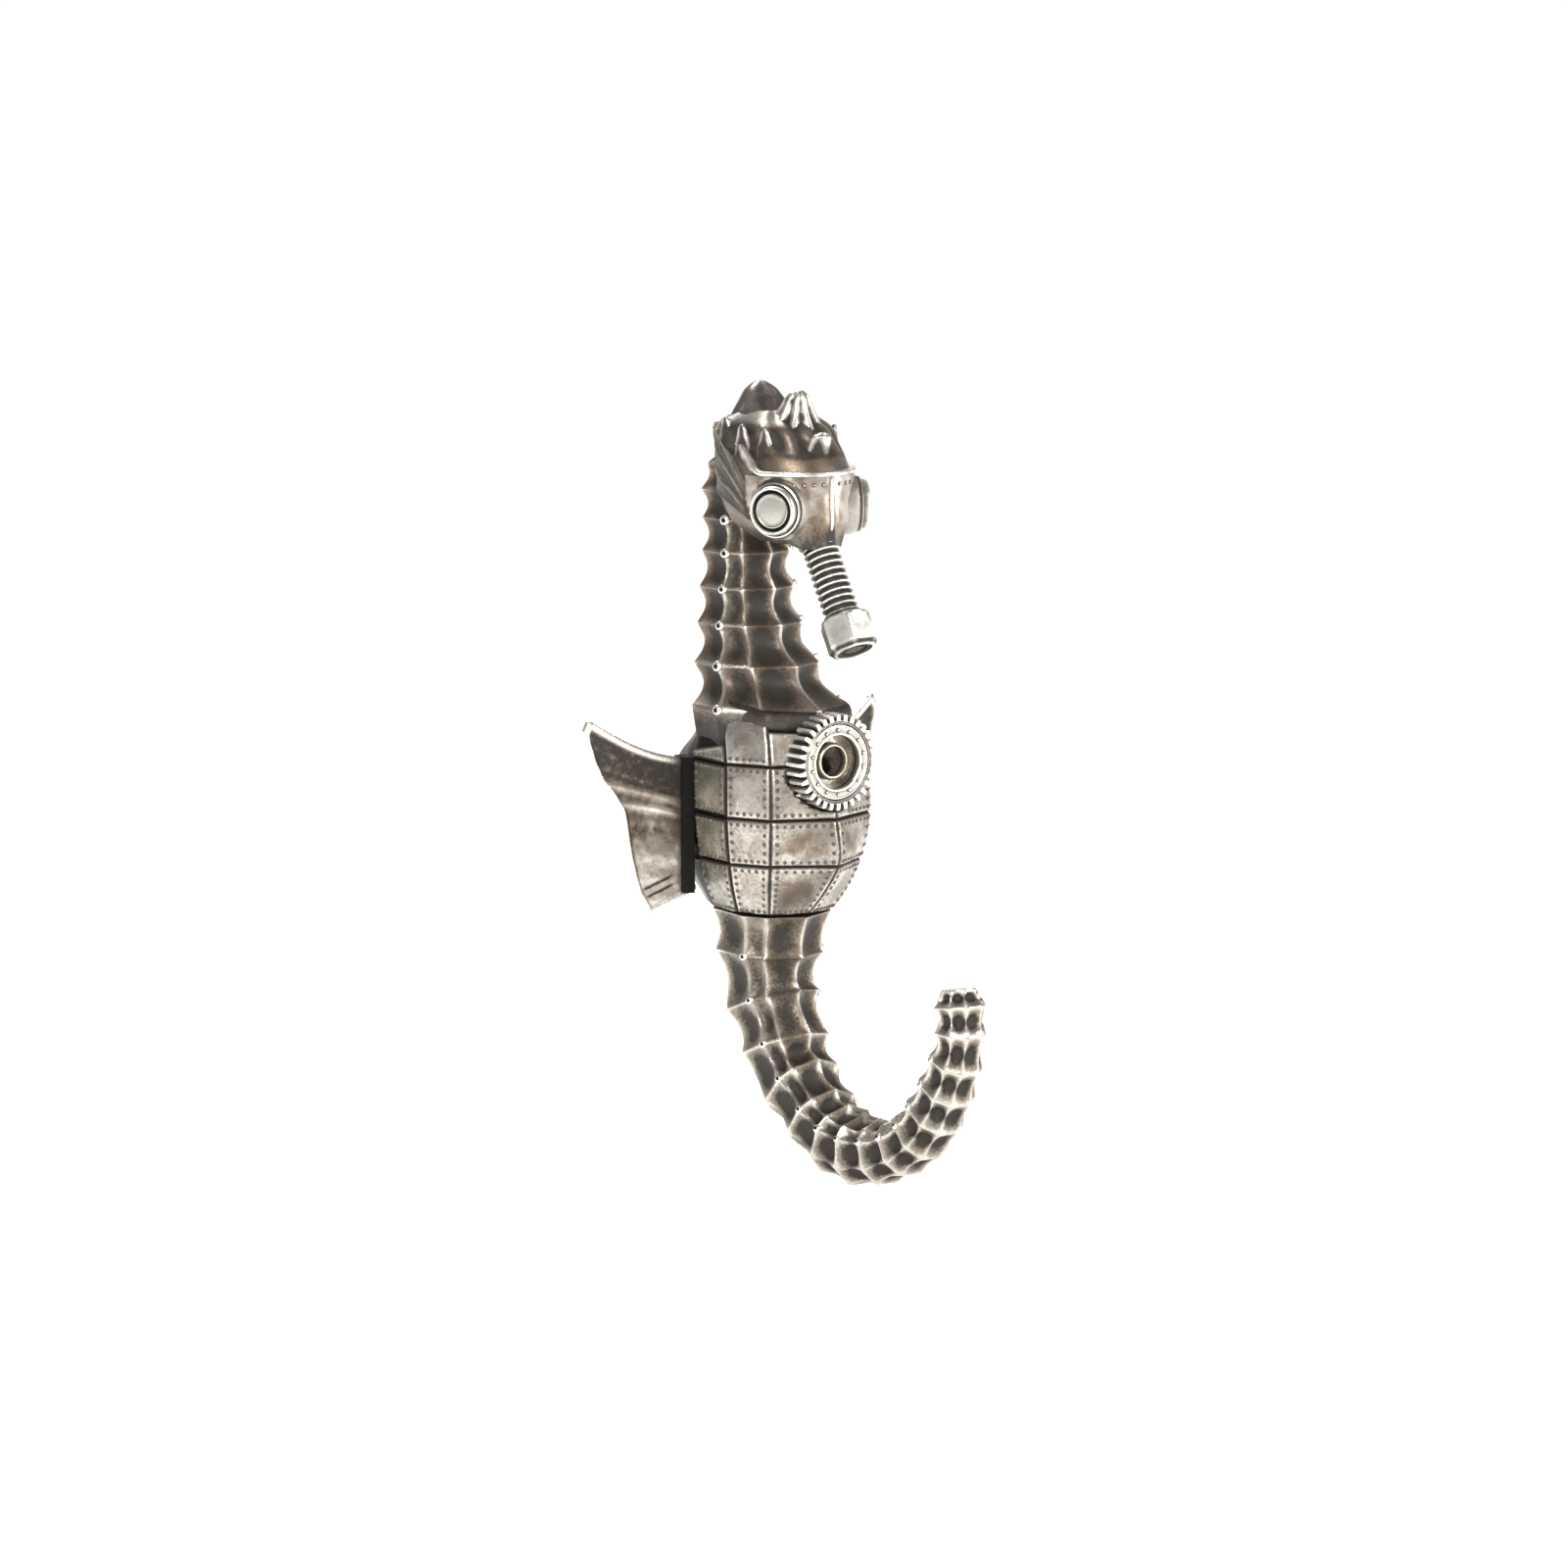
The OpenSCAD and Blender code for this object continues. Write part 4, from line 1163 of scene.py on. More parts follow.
    def rivets(self) -> None:
        """Rows of rivets along the plates' edges."""
        points, ways = [], []
        for row, column in self.cells():
            for u, v in self.rivet_places(row, column):
                here = self.plate_point(row, column, np.array(u), np.array(v))
                if math.hypot(here[0], here[2]) < self.bare_radius and -here[1] > self.bare_front and row < 2:
                    continue
                du = self.plate_point(row, column, np.array(u + 0.01), np.array(v)) - here
                dv = self.plate_point(row, column, np.array(u), np.array(v + 0.01)) - here
                way = np.cross(dv, du)
                way *= np.sign(way[0] + way[1] * -1e-3) if way[0] else 1
                way /= np.linalg.norm(way)
                for side in Side:
                    flip = np.array([side.value, 1.0, 1.0])
                    points.append(Vector((here + way * 0.02) * flip))
                    ways.append(Vector(way * flip))
        self.studs.place("seam_rivets", "armour_rivets", points, ways, self.rivet_sizes, "rivet_metal",
                         "rivet_metal", small=True)

    def rivet_places(self, row: int, column: int) -> list[tuple[float, float]]:
        """Shares across and up a plate at which its rivets stand."""
        left, right, low, high = (self.plate_point(row, column, np.array(a), np.array(b))
                                  for a, b in ((0, 0.5), (1, 0.5), (0.5, 0), (0.5, 1)))
        wide, tall = np.linalg.norm(right - left), np.linalg.norm(high - low)
        iu, iv = self.rivet_inset / wide + 0.03, self.rivet_inset / tall
        over, up = round(wide / self.rivet_pitch) - 1, round(tall / self.rivet_pitch) - 1
        places = [(iu + (1 - 2 * iu) * i / over, v) for i in range(over + 1) for v in (iv, 1 - iv)]
        places += [(u, iv + (1 - 2 * iv) * i / up) for i in range(1, up) for u in (iu, 1 - iu)]
        if row == 0:
            places = [(u, v) for u, v in places if v < 0.5 and (v == iv or column == 2)]
        return places

    def collar(self) -> None:
        """Rounded fold between the neck and the front plates."""
        steps = np.array([[-3.2, 0.97], [-2.9, 1.0], [-2.0, 1.035], [-0.6, 1.05], [0.9, 1.045],
                          [2.0, 1.02], [2.6, 0.98], [2.4, 0.94], [1.2, 0.9], [-3.2, 0.9]])
        z = np.array(self.belly_top)
        half = [(float(x), float(f)) for x, f in (self.corner(column, z) for column in range(3))]
        loop = np.array([(-x, f) for x, f in reversed(half[1:])] + half)
        path = evened(loop, 90, 10)
        x = path[:, :1] * steps[:, 1]
        f = self.middle + (path[:, 1:] - self.middle) * steps[:, 1]
        height = z + steps[:, 0] - self.collar_drop * (f - self.middle) / self.middle
        grid = np.stack([x, -f, height], -1)
        recess = np.array([1, 0.8, 0.5, 0.45, 0.5, 0.6, 0.8, 1, 1, 1]) + np.zeros((len(path), 1))
        grid = grid + 0.12 * ripples(grid, 6, 9)[..., None] * np.array([1.0, 0.0, 0.3])
        collar = tube("collar_roll", grid, {"recess": recess})
        cut_gear_space(collar)
        self.finishes.finish(collar, "fold_metal", "collar_fold")

    def core(self) -> None:
        """Dark body that shows in the seams between the plates."""
        z = np.linspace(self.row_edges[-1] - 0.2, self.belly_top - 0.6, 60)
        share = np.interp(z, (0, 4, 12), (0.93, 0.86, 0.78))
        half = [self.surface(column, np.full_like(z, u), z, share)
                for column in range(4) for u in np.linspace(0, 1, 9)[:-1]]
        half.append(self.surface(3, np.ones_like(z), z, share))
        grid = np.stack(half + [points * np.array([-1.0, 1.0, 1.0]) for points in reversed(half[1:])], axis=1)
        grid[..., 1] = np.minimum(grid[..., 1], -WALL_GAP)
        behind = step(-9, -3, grid[..., 1])
        recess = 1 - 0.5 * behind + 0.2 * behind * ripples(grid, 6, 21)
        core = tube("belly_core_skin", grid, {"recess": np.clip(recess, 0, 1)})
        cut_gear_space(core)
        self.finishes.finish(core, "core_pewter", "belly_core")

    def build(self) -> None:
        """Makes the core, plates, rivets and collar."""
        self.core()
        for row, column in self.cells():
            for side in Side:
                self.plate(row, column, side)
        self.rivets()
        self.collar()


# ---------------------------------------------------------------- gear


@dataclass
class GearStack:
    """Turning gear, and the fixed face, studs and eyelet in the middle of it."""

    finishes: Finishes
    studs: Studs
    teeth: int = 32
    tip: float = 12.2
    root: float = 10.6
    bore: float = 8.55
    counterbore: float = 9.6
    back: float = 42.8
    step_at: float = 46.1
    front: float = 48.8
    per_tooth: int = 12
    face_back: float = 46.2
    cup: float = 6.8
    face: float = 9.4
    cup_floor: float = 44.6
    stud_count: int = 14
    stud_sizes: tuple[float, float, float] = (0.55, 0.42, 0.2)
    bevel: float = 0.3

    def outline(self) -> tuple[np.ndarray, np.ndarray]:
        """Radius round the teeth, and how deep in a gap each point lies."""
        share = np.arange(self.per_tooth) / self.per_tooth
        inside = np.abs(share - 0.5) * 2
        tooth = 1 - step(0.36, 0.66, inside)
        return np.tile(self.root + (self.tip - self.root) * tooth, self.teeth), np.tile(1 - tooth, self.teeth)

    def gear(self) -> None:
        """Makes the gear ring, which turns."""
        radius, gap = self.outline()
        flat = np.zeros_like(radius)
        count = len(radius)
        angle = (np.arange(count) - self.per_tooth / 2) * 2 * np.pi / count
        front, inside = self.front, self.counterbore
        loops = (
            (self.bore + flat, self.back, 0.6 + flat), (radius - self.bevel, self.back, gap),
            (radius, self.back + self.bevel, gap), (radius, front - self.bevel, gap),
            (radius - self.bevel, front, 0.85 * gap), (self.root - 0.15 + flat, front, 0.25 * gap),
            (self.root - 0.4 + flat, front - 0.35, 0.75 + flat),
            (inside + 0.3 + flat, front - 0.35, 0.5 + flat), (inside + 0.1 + flat, front - 0.1, 0.1 + flat),
            (inside + flat, front - 0.3, 0.6 + flat), (inside + flat, self.step_at, 1 + flat),
            (self.bore + flat, self.step_at, 1 + flat))
        grid = np.stack([np.stack([r * np.cos(angle), -(f + flat), r * np.sin(angle)], -1)
                         for r, f, _ in loops])
        gear = ring_of_loops("gear_teeth_ring", grid, {"recess": np.stack([m for *_, m in loops])}, 35)
        self.finishes.finish(gear, "bright_pewter", "gear_ring", body="gear")

    def ring(self, name: str, profile: Profile, finish: str, node: str) -> None:
        """Makes a turned ring on the screw's axis from radii, distances forward and recess marks."""
        self.finishes.finish(lathe(name, profile, FROM_WALL, 96), finish, node)

    def build(self) -> None:
        """Makes the gear and its fixed middle."""
        self.gear()
        low, high, cup, face = self.face_back, self.front - 0.2, self.cup, self.face
        pad = (
            (cup, low, 1), (cup, high - 0.2, 0.3), (cup + 0.2, high, 0), (cup + 0.55, high, 0),
            (cup + 0.75, high - 0.28, 0.6), (face - 0.55, high - 0.28, 0.35), (face - 0.35, high - 0.05, 0),
            (face - 0.1, high - 0.1, 0.1), (face, high - 0.4, 0.9), (face, low, 1))
        self.ring("hub_pad_ring", pad, "bright_pewter", "hub_face")
        floor = self.cup_floor
        eyelet = (
            (3.75, floor, 1), (3.75, floor + 1.9, 0.5), (3.9, floor + 2.15, 0), (4.15, floor + 2.2, 0),
            (4.45, floor + 2.0, 0.1), (4.7, floor + 1.5, 0.35), (4.7, floor, 1))
        self.ring("screw_eyelet_ring", eyelet, "eyelet_pewter", "screw_eyelet")
        turn = [(i + 0.5) * 2 * math.pi / self.stud_count for i in range(self.stud_count)]
        middle = (cup + face) / 2
        points = [Vector((middle * math.cos(t), -(high - 0.3), middle * math.sin(t))) for t in turn]
        # Each stud's bright disc is a painted highlight on its crown.
        self.studs.place("hub_pad_studs", "hub_studs", points, [Vector((0, -1, 0))] * len(points),
                         self.stud_sizes, "rivet_metal", "bright_pewter")


# ---------------------------------------------------------------- fins


@dataclass
class Fin:
    """Ribbed blade with a thick rim, one on each side."""

    finishes: Finishes
    side: Side
    root: tuple[float, float] = (19.2, 9.8)
    sweep: float = 13.0
    high: float = -1.7
    low: float = -35.0
    edge: Table = ((25.8, 9.3), (27.7, 6.4), (24.6, -3.3), (19.0, -12.4), (17.0, -19.4), (16.0, -27.7),
                   (13.4, -35.6), (10.9, -40.8))
    edge_shares: tuple[float, ...] = (0, 0.1, 0.3, 0.45, 0.58, 0.74, 0.9, 1.0)
    tuck: float = 2.4
    rays: int = 11
    thick: float = 1.8

    def build(self) -> None:
        """Makes the blade."""
        s = np.append(gathered(44, 0.55), 1.0)
        v = np.append(gathered(110, 0.25), 1.0)
        v, s = np.meshgrid(v, s, indexing="ij")
        edge_x, edge_z = (curve(list(zip(self.edge_shares, values)), v) for values in zip(*self.edge))
        x = -self.tuck + (edge_x + self.tuck) * s
        z = (self.high + (self.low - self.high) * v) * (1 - s) + edge_z * s
        z -= 2.3 * np.sin(np.pi * s) * (1 - v) ** 3
        z += 0.25 * np.sin(2 * np.pi * self.rays * v) * s ** 4
        x += 0.35 * np.sin(2 * np.pi * 3.5 * v + 0.8) * s ** 6
        across = edge_x * (1 - s)
        down = np.hypot(np.gradient(x, axis=0), np.gradient(z, axis=0)).cumsum(axis=0)
        from_top, from_low = down - down[:1], down[-1:] - down
        rim = np.maximum(step(2.4, 1.3, from_top), step(1.9, 0.9, across)) * step(0.05, 0.25, s)
        rim = np.maximum(rim, 0.8 * step(1.6, 0.8, from_low))
        ray = 0.5 + 0.5 * np.cos(2 * np.pi * (self.rays * v + 0.25 * np.sin(3 * s)))
        strong = bell(v - 0.4, 0.11) * step(0.02, 0.3, s)
        wave = 0.5 + 0.5 * np.cos(2 * np.pi * (7.5 * v + 0.9 * s))
        low_part = step(0.55, 0.75, v)
        relief = -0.6 + 0.75 * rim + (1 - rim) * (0.5 * strong * ray + 0.25 * low_part * (0.6 + 0.4 * wave))
        grit = ripples(np.stack([x, x * 0, z], -1), 2.4, 4) * (1 - rim)
        relief = relief + 0.06 * grit
        half = self.thick / 2 * (1 - 0.25 * s)
        turn = math.radians(self.sweep)
        bow = 0.5 * np.sin(np.pi * s)

        def placed(offset: np.ndarray) -> Grid:
            """The blade's points at an offset forward of its middle."""
            world_x = self.root[0] + x * math.cos(turn)
            forward = self.root[1] - x * math.sin(turn) + bow + offset
            return np.stack([self.side.value * world_x, -forward, z], -1)

        round_off = 0.45 * (1 - step(0.0, 0.7, across)) + 0.45 * (1 - step(0.0, 0.7, from_top))
        front = placed(half + 0.35 + relief - round_off)
        back = placed(-half - 0.15 - 0.5 * relief + round_off)
        grooves = bell((from_low - 3.0) % 2.2 - 1.1, 0.35) * step(7.6, 6.6, from_low)
        grooves = grooves * step(2.8, 3.4, from_low) * step(0.3, 0.5, s) * step(0.92, 0.8, s)
        recess = 0.62 - 0.75 * rim - 0.5 * strong * ray - (0.3 + 0.14 * wave) * low_part + 0.08 * grit
        recess += 0.75 * grooves + 0.3 * step(0.12, 0.0, s) + 0.16 * (1 - rim) * step(0.4, 0.28, v)
        tone = (1 - rim) * (1.0 - 0.7 * strong * ray - 0.75 * low_part)
        blade = shell(f"fin_blade_{self.side.label}", front, back, {
            "recess": np.clip(recess, 0, 1), "tone": np.clip(tone, 0, 1)}, 60)
        self.finishes.finish(blade, "fin_pewter", f"fin_{self.side.label}")


# ---------------------------------------------------------------- head


@dataclass
class Head:
    """Skull, mask, goggles, straps and crown.

    The tables give the middle (f) and the radius (r) of the rear and front arcs by height.
    """

    finishes: Finishes
    studs: Studs
    rear_f: Table = ((54, 25), (57, 22.5), (62, 21), (68, 20.6), (72, 20.4), (84.5, 19.4), (86.5, 20))
    rear_r: Table = ((54, 6), (57, 9.4), (62, 12), (68, 12.6), (72, 12.7), (78, 12.3), (84.5, 10.2),
                     (86.5, 5.5))
    front_f: Table = ((54, 32), (72, 31.6), (78, 29.6), (84.5, 26.4), (86.5, 24.5))
    front_r: Table = ((54, 6.5), (57, 10), (62, 12.6), (68, 13.1), (72, 13.1), (78, 11.8), (84.5, 8.5),
                      (86.5, 5))
    mask_rear_f: Table = ((53.2, 38), (56, 33), (60, 28), (64, 26))
    mask_rear_r: Table = ((53.2, 4.5), (56, 8), (60, 12), (64, 14.3))
    mask_front_f: Table = ((53.2, 40.3), (56, 37), (60, 33.6), (64, 31.8), (68, 31.6))
    mask_front_r: Table = ((53.2, 5.6), (56, 8.6), (60, 12.6), (64, 14.2), (68, 14.3))
    mask_back: float = 29.0
    mask_top: float = 71.4
    joint_z: float = 70.8
    joint_slope: float = 35.0
    goggle_at: tuple[float, float, float] = (13.1, 39.7, 63.3)
    goggle_turn: float = 63.0
    band_r: float = 13.85
    rivet_r: float = 14.35
    rivet_sizes: tuple[float, float, float] = (0.6, 0.3, 0.2)

    @staticmethod
    def section(tables: Sequence[Table], z: np.ndarray, count: int = 96) -> tuple[Grid, np.ndarray]:
        """Rings made of a round front and a round rear, joined by straight sides.

        Args:
            tables: distance forward and radius of the rear, then of the front, by height.
            z: heights.
            count: points round each ring.

        Returns:
            The rings and each point's angle from the front.
        """
        rear_f, rear_r, front_f, front_r = (curve(table, z) for table in tables)
        share = np.arange(count) / count
        angle = 2 * np.pi * share - 0.35 * np.sin(4 * np.pi * share) / 2
        front = step(-0.16, 0.16, np.cos(angle))[None, :]
        middle = rear_f[:, None] * (1 - front) + front_f[:, None] * front
        radius = rear_r[:, None] * (1 - front) + front_r[:, None] * front
        x, f = radius * np.sin(angle), middle + radius * np.cos(angle)
        return np.stack([x, -f, np.broadcast_to(z[:, None], x.shape)], -1), angle

    def skull(self) -> None:
        """Makes the skull: smooth, with folds that rise to the horns."""
        z = np.append(54 + 32.5 * gathered(54, 0.2), 86.5)
        grid, angle = self.section((self.rear_f, self.rear_r, self.front_f, self.front_r), z)
        up = step(75.5, 79, z)[:, None]
        flute = np.cos(11 * angle + 0.25 * z[:, None]) * up
        lumps = ripples(grid, 7, 21)
        middle = np.array([0, -24.0, 0])
        out = (grid - middle) * np.array([1.0, 1.0, 0.0])
        out /= np.linalg.norm(out, axis=-1, keepdims=True)
        grid = grid + out * (0.42 * flute + 0.22 * lumps * up)[..., None]
        recess = 0.5 - 0.4 * flute - 0.2 * lumps + 0.35 * bell(z - 76.4, 0.9)[:, None]
        skull = tube("skull_skin", grid, {"recess": np.clip(recess, 0, 1),
                                          "tone": np.clip(0.7 + 0.2 * lumps, 0, 1)})
        cut_away(skull, self.below())
        self.finishes.finish(skull, "head_pewter", "skull_casting")

    def below(self) -> Piece:
        """Everything under the sloping joint between the head and the neck, as a shape to cut away."""
        slope = math.radians(self.joint_slope)
        under = facing((0, 0, self.joint_z), (0, math.sin(-slope), math.cos(slope)))
        box = np.array([(x, y, z) for x in (-60, 60) for y in (-120, 120) for z in (-80, 0)], float)
        faces = [(0, 1, 3, 2), (4, 6, 7, 5), (0, 4, 5, 1), (2, 3, 7, 6), (0, 2, 6, 4), (1, 5, 7, 3)]
        return new_piece("below_the_head", moved(box, under), faces)

    def mask(self) -> None:
        """Makes the mask, with a rolled rear edge and soft hollows round the goggles."""
        z = np.append(53.2 + (self.mask_top - 53.2) * gathered(48, 0.1), self.mask_top)
        tables = (self.mask_rear_f, self.mask_rear_r, self.mask_front_f, self.mask_front_r)
        grid, angle = self.section(tables, z, 128)
        clipped = np.minimum(grid[..., 1], -self.mask_back)
        from_back = -self.mask_back - clipped
        edge = bell(from_back - 0.9, 0.8) * (grid[..., 1] < -self.mask_back)
        away = np.linalg.norm(np.stack([np.abs(grid[..., 0]) - self.goggle_at[0], clipped + self.goggle_at[1],
                                        grid[..., 2] - self.goggle_at[2]], -1), axis=-1)
        groove = bell(away - 7.4, 0.55)
        collar = bell(away - 8.3, 0.55)
        lumps = ripples(grid, 5, 31)
        seam = bell(grid[..., 0], 0.9) * (clipped < -40)
        lift = 0.35 * edge - 0.35 * groove + 0.22 * collar + 0.1 * lumps - 0.15 * seam
        out = np.stack([np.sin(angle) + 0 * lift, -np.cos(angle) + 0 * lift, 0 * lift], -1)
        grid = np.stack([grid[..., 0], clipped, grid[..., 2]], -1)
        grid = grid + out * lift[..., None] * (from_back > 0)[..., None]
        shine = bell(grid[..., 0] - 5.0, 4.0) * step(-42, -45, clipped) * step(57, 63, z)[:, None]
        low = step(61, 55, z)[:, None]
        recess = 0.3 + 0.7 * groove - 0.35 * collar - 0.3 * edge + 0.12 * lumps
        recess = recess + 0.4 * low + 0.5 * seam - 0.35 * shine
        tone = 0.75 * (1 - edge) - 0.6 * shine + 0.3 * lumps
        mask = tube("mask_skin", grid, {"recess": np.clip(recess, 0, 1), "tone": np.clip(tone, 0, 1)})
        self.finishes.finish(mask, "mask_pewter", "mask_shell")

    def band(self) -> None:
        """Makes the rolled band along the top of the mask and the line down its nose."""
        arm = [(float(self.half_width(np.array(f), np.array(self.mask_top + up))) + 0.35, f, up)
               for f, up in ((23.6, 6.7), (25.2, 5.6), (27.0, 4.3), (28.8, 3.0), (30.4, 1.8), (32.0, 0.8))]
        turn = np.radians(np.linspace(-80, 80, 61))
        middle = [(self.band_r * math.sin(t), 31.6 + self.band_r * math.cos(t), 0.0) for t in turn]
        path = np.array([(-x, f, up) for x, f, up in arm] + middle + arm[::-1])
        share = np.linspace(0, 1, 150)
        path = evened(path, len(share), 6)
        ahead = np.gradient(path, axis=0)
        ahead /= np.linalg.norm(ahead, axis=-1, keepdims=True)
        away = path * [1.0, 1.0, 0.0] - [0.0, 24.0, 0.0]
        over = np.cross(away, ahead)
        over /= np.linalg.norm(over, axis=-1, keepdims=True)
        over *= np.sign(over[:, 2:])
        out = np.cross(ahead, over)
        out *= np.sign((out * away).sum(-1, keepdims=True))
        section = np.radians(np.arange(20) * 18)
        wide = 0.68 + 0.62 * (step(0.2, 0.12, share) + step(0.8, 0.88, share))
        wide *= np.sqrt(np.clip(1 - (np.abs(share - 0.5) / 0.5) ** 40, 0.05, 1))
        lateral = 0.95 * np.sign(np.cos(section)) * np.abs(np.cos(section)) ** 0.6
        tall = wide[:, None] * (np.sign(np.sin(section)) * np.abs(np.sin(section)) ** 0.6)[None, :]
        grid = path[:, None] + out[:, None] * lateral[None, :, None] + over[:, None] * tall[..., None]
        grid[..., 2] += self.mask_top + 0.7
        grid[..., 1] *= -1
        recess = 0.1 + 0.4 * (tall < -0.55) + 0.25 * ripples(grid, 3, 8)
        band = tube("mask_top_band", grid, {"recess": np.clip(recess, 0, 1)})
        self.finishes.finish(band, "bright_pewter", "mask_rim_band")
        z = np.linspace(58, self.mask_top - 0.6, 40)
        line = curve(self.mask_front_f, z) + curve(self.mask_front_r, z)
        taper = np.sin(np.pi * np.clip((z - 57.4) / 14.0, 0, 1)) ** 0.4
        x = 0.62 * np.cos(section)[None, :] * taper[:, None]
        f = line[:, None] - 0.1 + 0.42 * np.sin(section)[None, :] * taper[:, None]
        ridge = tube("nose_seam", np.stack([x, -f, z[:, None] + 0 * x], -1), {"recess": 0.12 + 0 * x})
        self.finishes.finish(ridge, "bright_pewter", "nose_ridge")
        points, ways = [], []
        for a in range(-80, 81, 10):
            if abs(a) > 2:
                way = Vector((math.sin(math.radians(a)), -math.cos(math.radians(a)), 0))
                points.append(Vector((0, -31.6, self.mask_top - 1.9)) + way * self.rivet_r)
                ways.append(way)
        for side in Side:
            points.append(Vector((side.value * (arm[0][0] + 0.95), -24.4, self.mask_top + 6.9)))
            ways.append(Vector((side.value, -0.2, 0.3)).normalized())
        # Each rivet's bright disc is a painted highlight on its crown.
        self.studs.place("mask_band_rivets", "mask_rivets", points, ways, self.rivet_sizes, "rivet_metal",
                         "bright_pewter")

    def goggle(self, side: Side) -> None:
        """Makes one goggle: bezel, seal and lens."""
        x, f, z = self.goggle_at
        turn = math.radians(self.goggle_turn)
        place = facing((side.value * x, -f, z), (side.value * math.sin(turn), -math.cos(turn), 0))
        bezel = ((0, -5, 1), (7.9, -5, 0.5), (7.7, -2.6, 0.45), (7.3, -1.2, 0.4), (7.0, -0.5, 0.95),
                 (6.9, 0.1, 0.3), (6.55, 0.3, 0.1), (6.4, -0.1, 1), (6.25, -0.1, 1), (6.2, 1.3, 0.35),
                 (6.0, 1.85, 0), (5.7, 2.1, 0), (5.35, 2.05, 0.05), (5.15, 1.7, 0.5), (5.1, 0.6, 1),
                 (0, 0.6, 1))
        seal = ((4.45, 0.62, 1), (4.45, 1.0, 1), (4.6, 1.15, 0.9), (4.9, 1.1, 0.9), (5.05, 0.9, 1),
                (5.05, 0.62, 1))
        lens = ((0, 0.62, 1), (4.4, 0.62, 1), (4.4, 1.6, 0.4), (4.3, 1.85, 0), (4.1, 1.92, 0),
                (3.95, 1.78, 0.35), (3.8, 1.72, 0.3), (3.0, 1.82, 0.12), (1.8, 1.95, 0.1), (0.7, 2.0, 0.1),
                (0, 2.01, 0.1))
        for name, profile, finish in (("bezel", bezel, "bright_pewter"), ("seal", seal, "black_rubber"),
                                      ("lens", lens, "lens_pewter")):
            piece = lathe(f"goggle_{name}_turned_{side.label}", profile, place)
            self.finishes.finish(piece, finish, f"goggle_{name}_{side.label}")

    def half_width(self, f: np.ndarray, z: np.ndarray) -> np.ndarray:
        """Half-width of the skull at a distance from the wall and a height."""
        rear, rear_r = curve(self.rear_f, z), curve(self.rear_r, z)
        front, front_r = curve(self.front_f, z), curve(self.front_r, z)
        behind = np.sqrt(np.maximum(0, rear_r ** 2 - (rear - f) ** 2))
        beside = rear_r + (front_r - rear_r) * np.clip((f - rear) / (front - rear), 0, 1)
        return np.where(f < rear, behind, beside)

    def straps(self, side: Side) -> None:
        """Makes the three leaf-shaped straps behind a goggle as one casting."""
        t = np.linspace(0, 1, 40)[:, None]
        w = np.linspace(-1, 1, 15)[None, :]
        parts = []
        for index, end in enumerate((82.0, 76.5, 70.0)):
            start = 65.4 - 2.2 * index
            f = self.mask_back + 0.4 - 19.0 * t
            middle = start + (end - start) * (t + 0.06 * np.sin(np.pi * t))
            half = (1.0 + 1.75 * t ** 0.8) * np.sqrt(np.clip(1 - ((t - 0.86) / 0.145) ** 2, 0.02, 1)
                                                     * (t > 0.86) + (t <= 0.86))
            z = middle + half * w
            f = f + 0 * z
            edge = bell((1 - np.abs(w)) * half, 0.45)
            vein = bell(w * half, 0.3) * 0.12
            lift = 1.15 + 0.65 * edge + 0.25 * vein - 0.5 * (np.abs(w) > 0.99)
            base = self.half_width(f, z)
            outer = np.stack([side.value * (base + lift), -f, z], -1)
            inner = np.stack([side.value * (base - 0.4), -f, z], -1)
            recess = np.clip(0.75 - 0.9 * edge - 0.5 * vein + 0.5 * step(0.12, 0, t), 0, 1)
            parts.append(shell(f"strap_{index}_{side.label}", outer, inner, {
                "recess": recess, "tone": 0.55 * (1 - edge)}, 55))
        straps = joined(f"head_strap_fan_{side.label}", parts)
        self.finishes.finish(straps, "strap_pewter", f"head_straps_{side.label}")

    def horn(self, name: str, place: tuple[float, float, float], sizes: tuple[float, float, float],
             lean: tuple[float, float] = (0.0, 0.0), flutes: int = 0, depth: float = 0.0, flare: float = 1.15,
             shade: float = 0.4) -> Piece:
        """Makes a horn that flares into the skull and rounds over at its tip.

        Args:
            name: the horn's name.
            place: its foot, as x, distance forward and height.
            sizes: radius at the foot, radius at the tip and height.
            lean: how far the tip leans outwards and forwards.
            flutes: number of grooves up it.
            depth: the grooves' depth as a share of the radius.
            flare: how strongly the sides curve in.
            shade: recess mark at its foot.

        Returns:
            The horn.
        """
        x, f, z = place
        base, tip, height = sizes
        t = np.append(-0.25 + 1.1 * gathered(34, 0), 1.0)
        t = np.sort(np.concatenate([t[t < 0.8], np.linspace(0.8, 0.998, 12)]))[:, None]
        body = tip + (base - tip) * np.maximum(1 - t, 0) ** flare
        cap = np.sqrt(np.clip(1 - (np.clip(t - 0.8, 0, 1) / 0.2) ** 2, 0.0004, 1))
        angle = np.radians(np.arange(60) * 6)[None, :]
        wave = np.cos(flutes * angle) if flutes else 0 * angle
        radius = body * cap * (1 + depth * wave * step(-0.1, 0.3, t) * (0.4 + 0.6 * cap))
        out, forward = lean
        grid = np.stack([x + out * t * np.sign(x or 1) * (x != 0) + radius * np.sin(angle),
                         -(f + forward * t + radius * np.cos(angle)), z + height * t + 0 * angle], -1)
        lumps = ripples(grid, 4, int(10 * base))
        recess = shade * (1.1 - t) + 0.28 * lumps - 0.45 * wave * (flutes > 0) + 0.1
        tone = np.clip(0.5 * (1 - t) + 0 * lumps, 0, 1)
        return tube(name, grid, {"recess": np.clip(recess, 0, 1), "tone": tone})

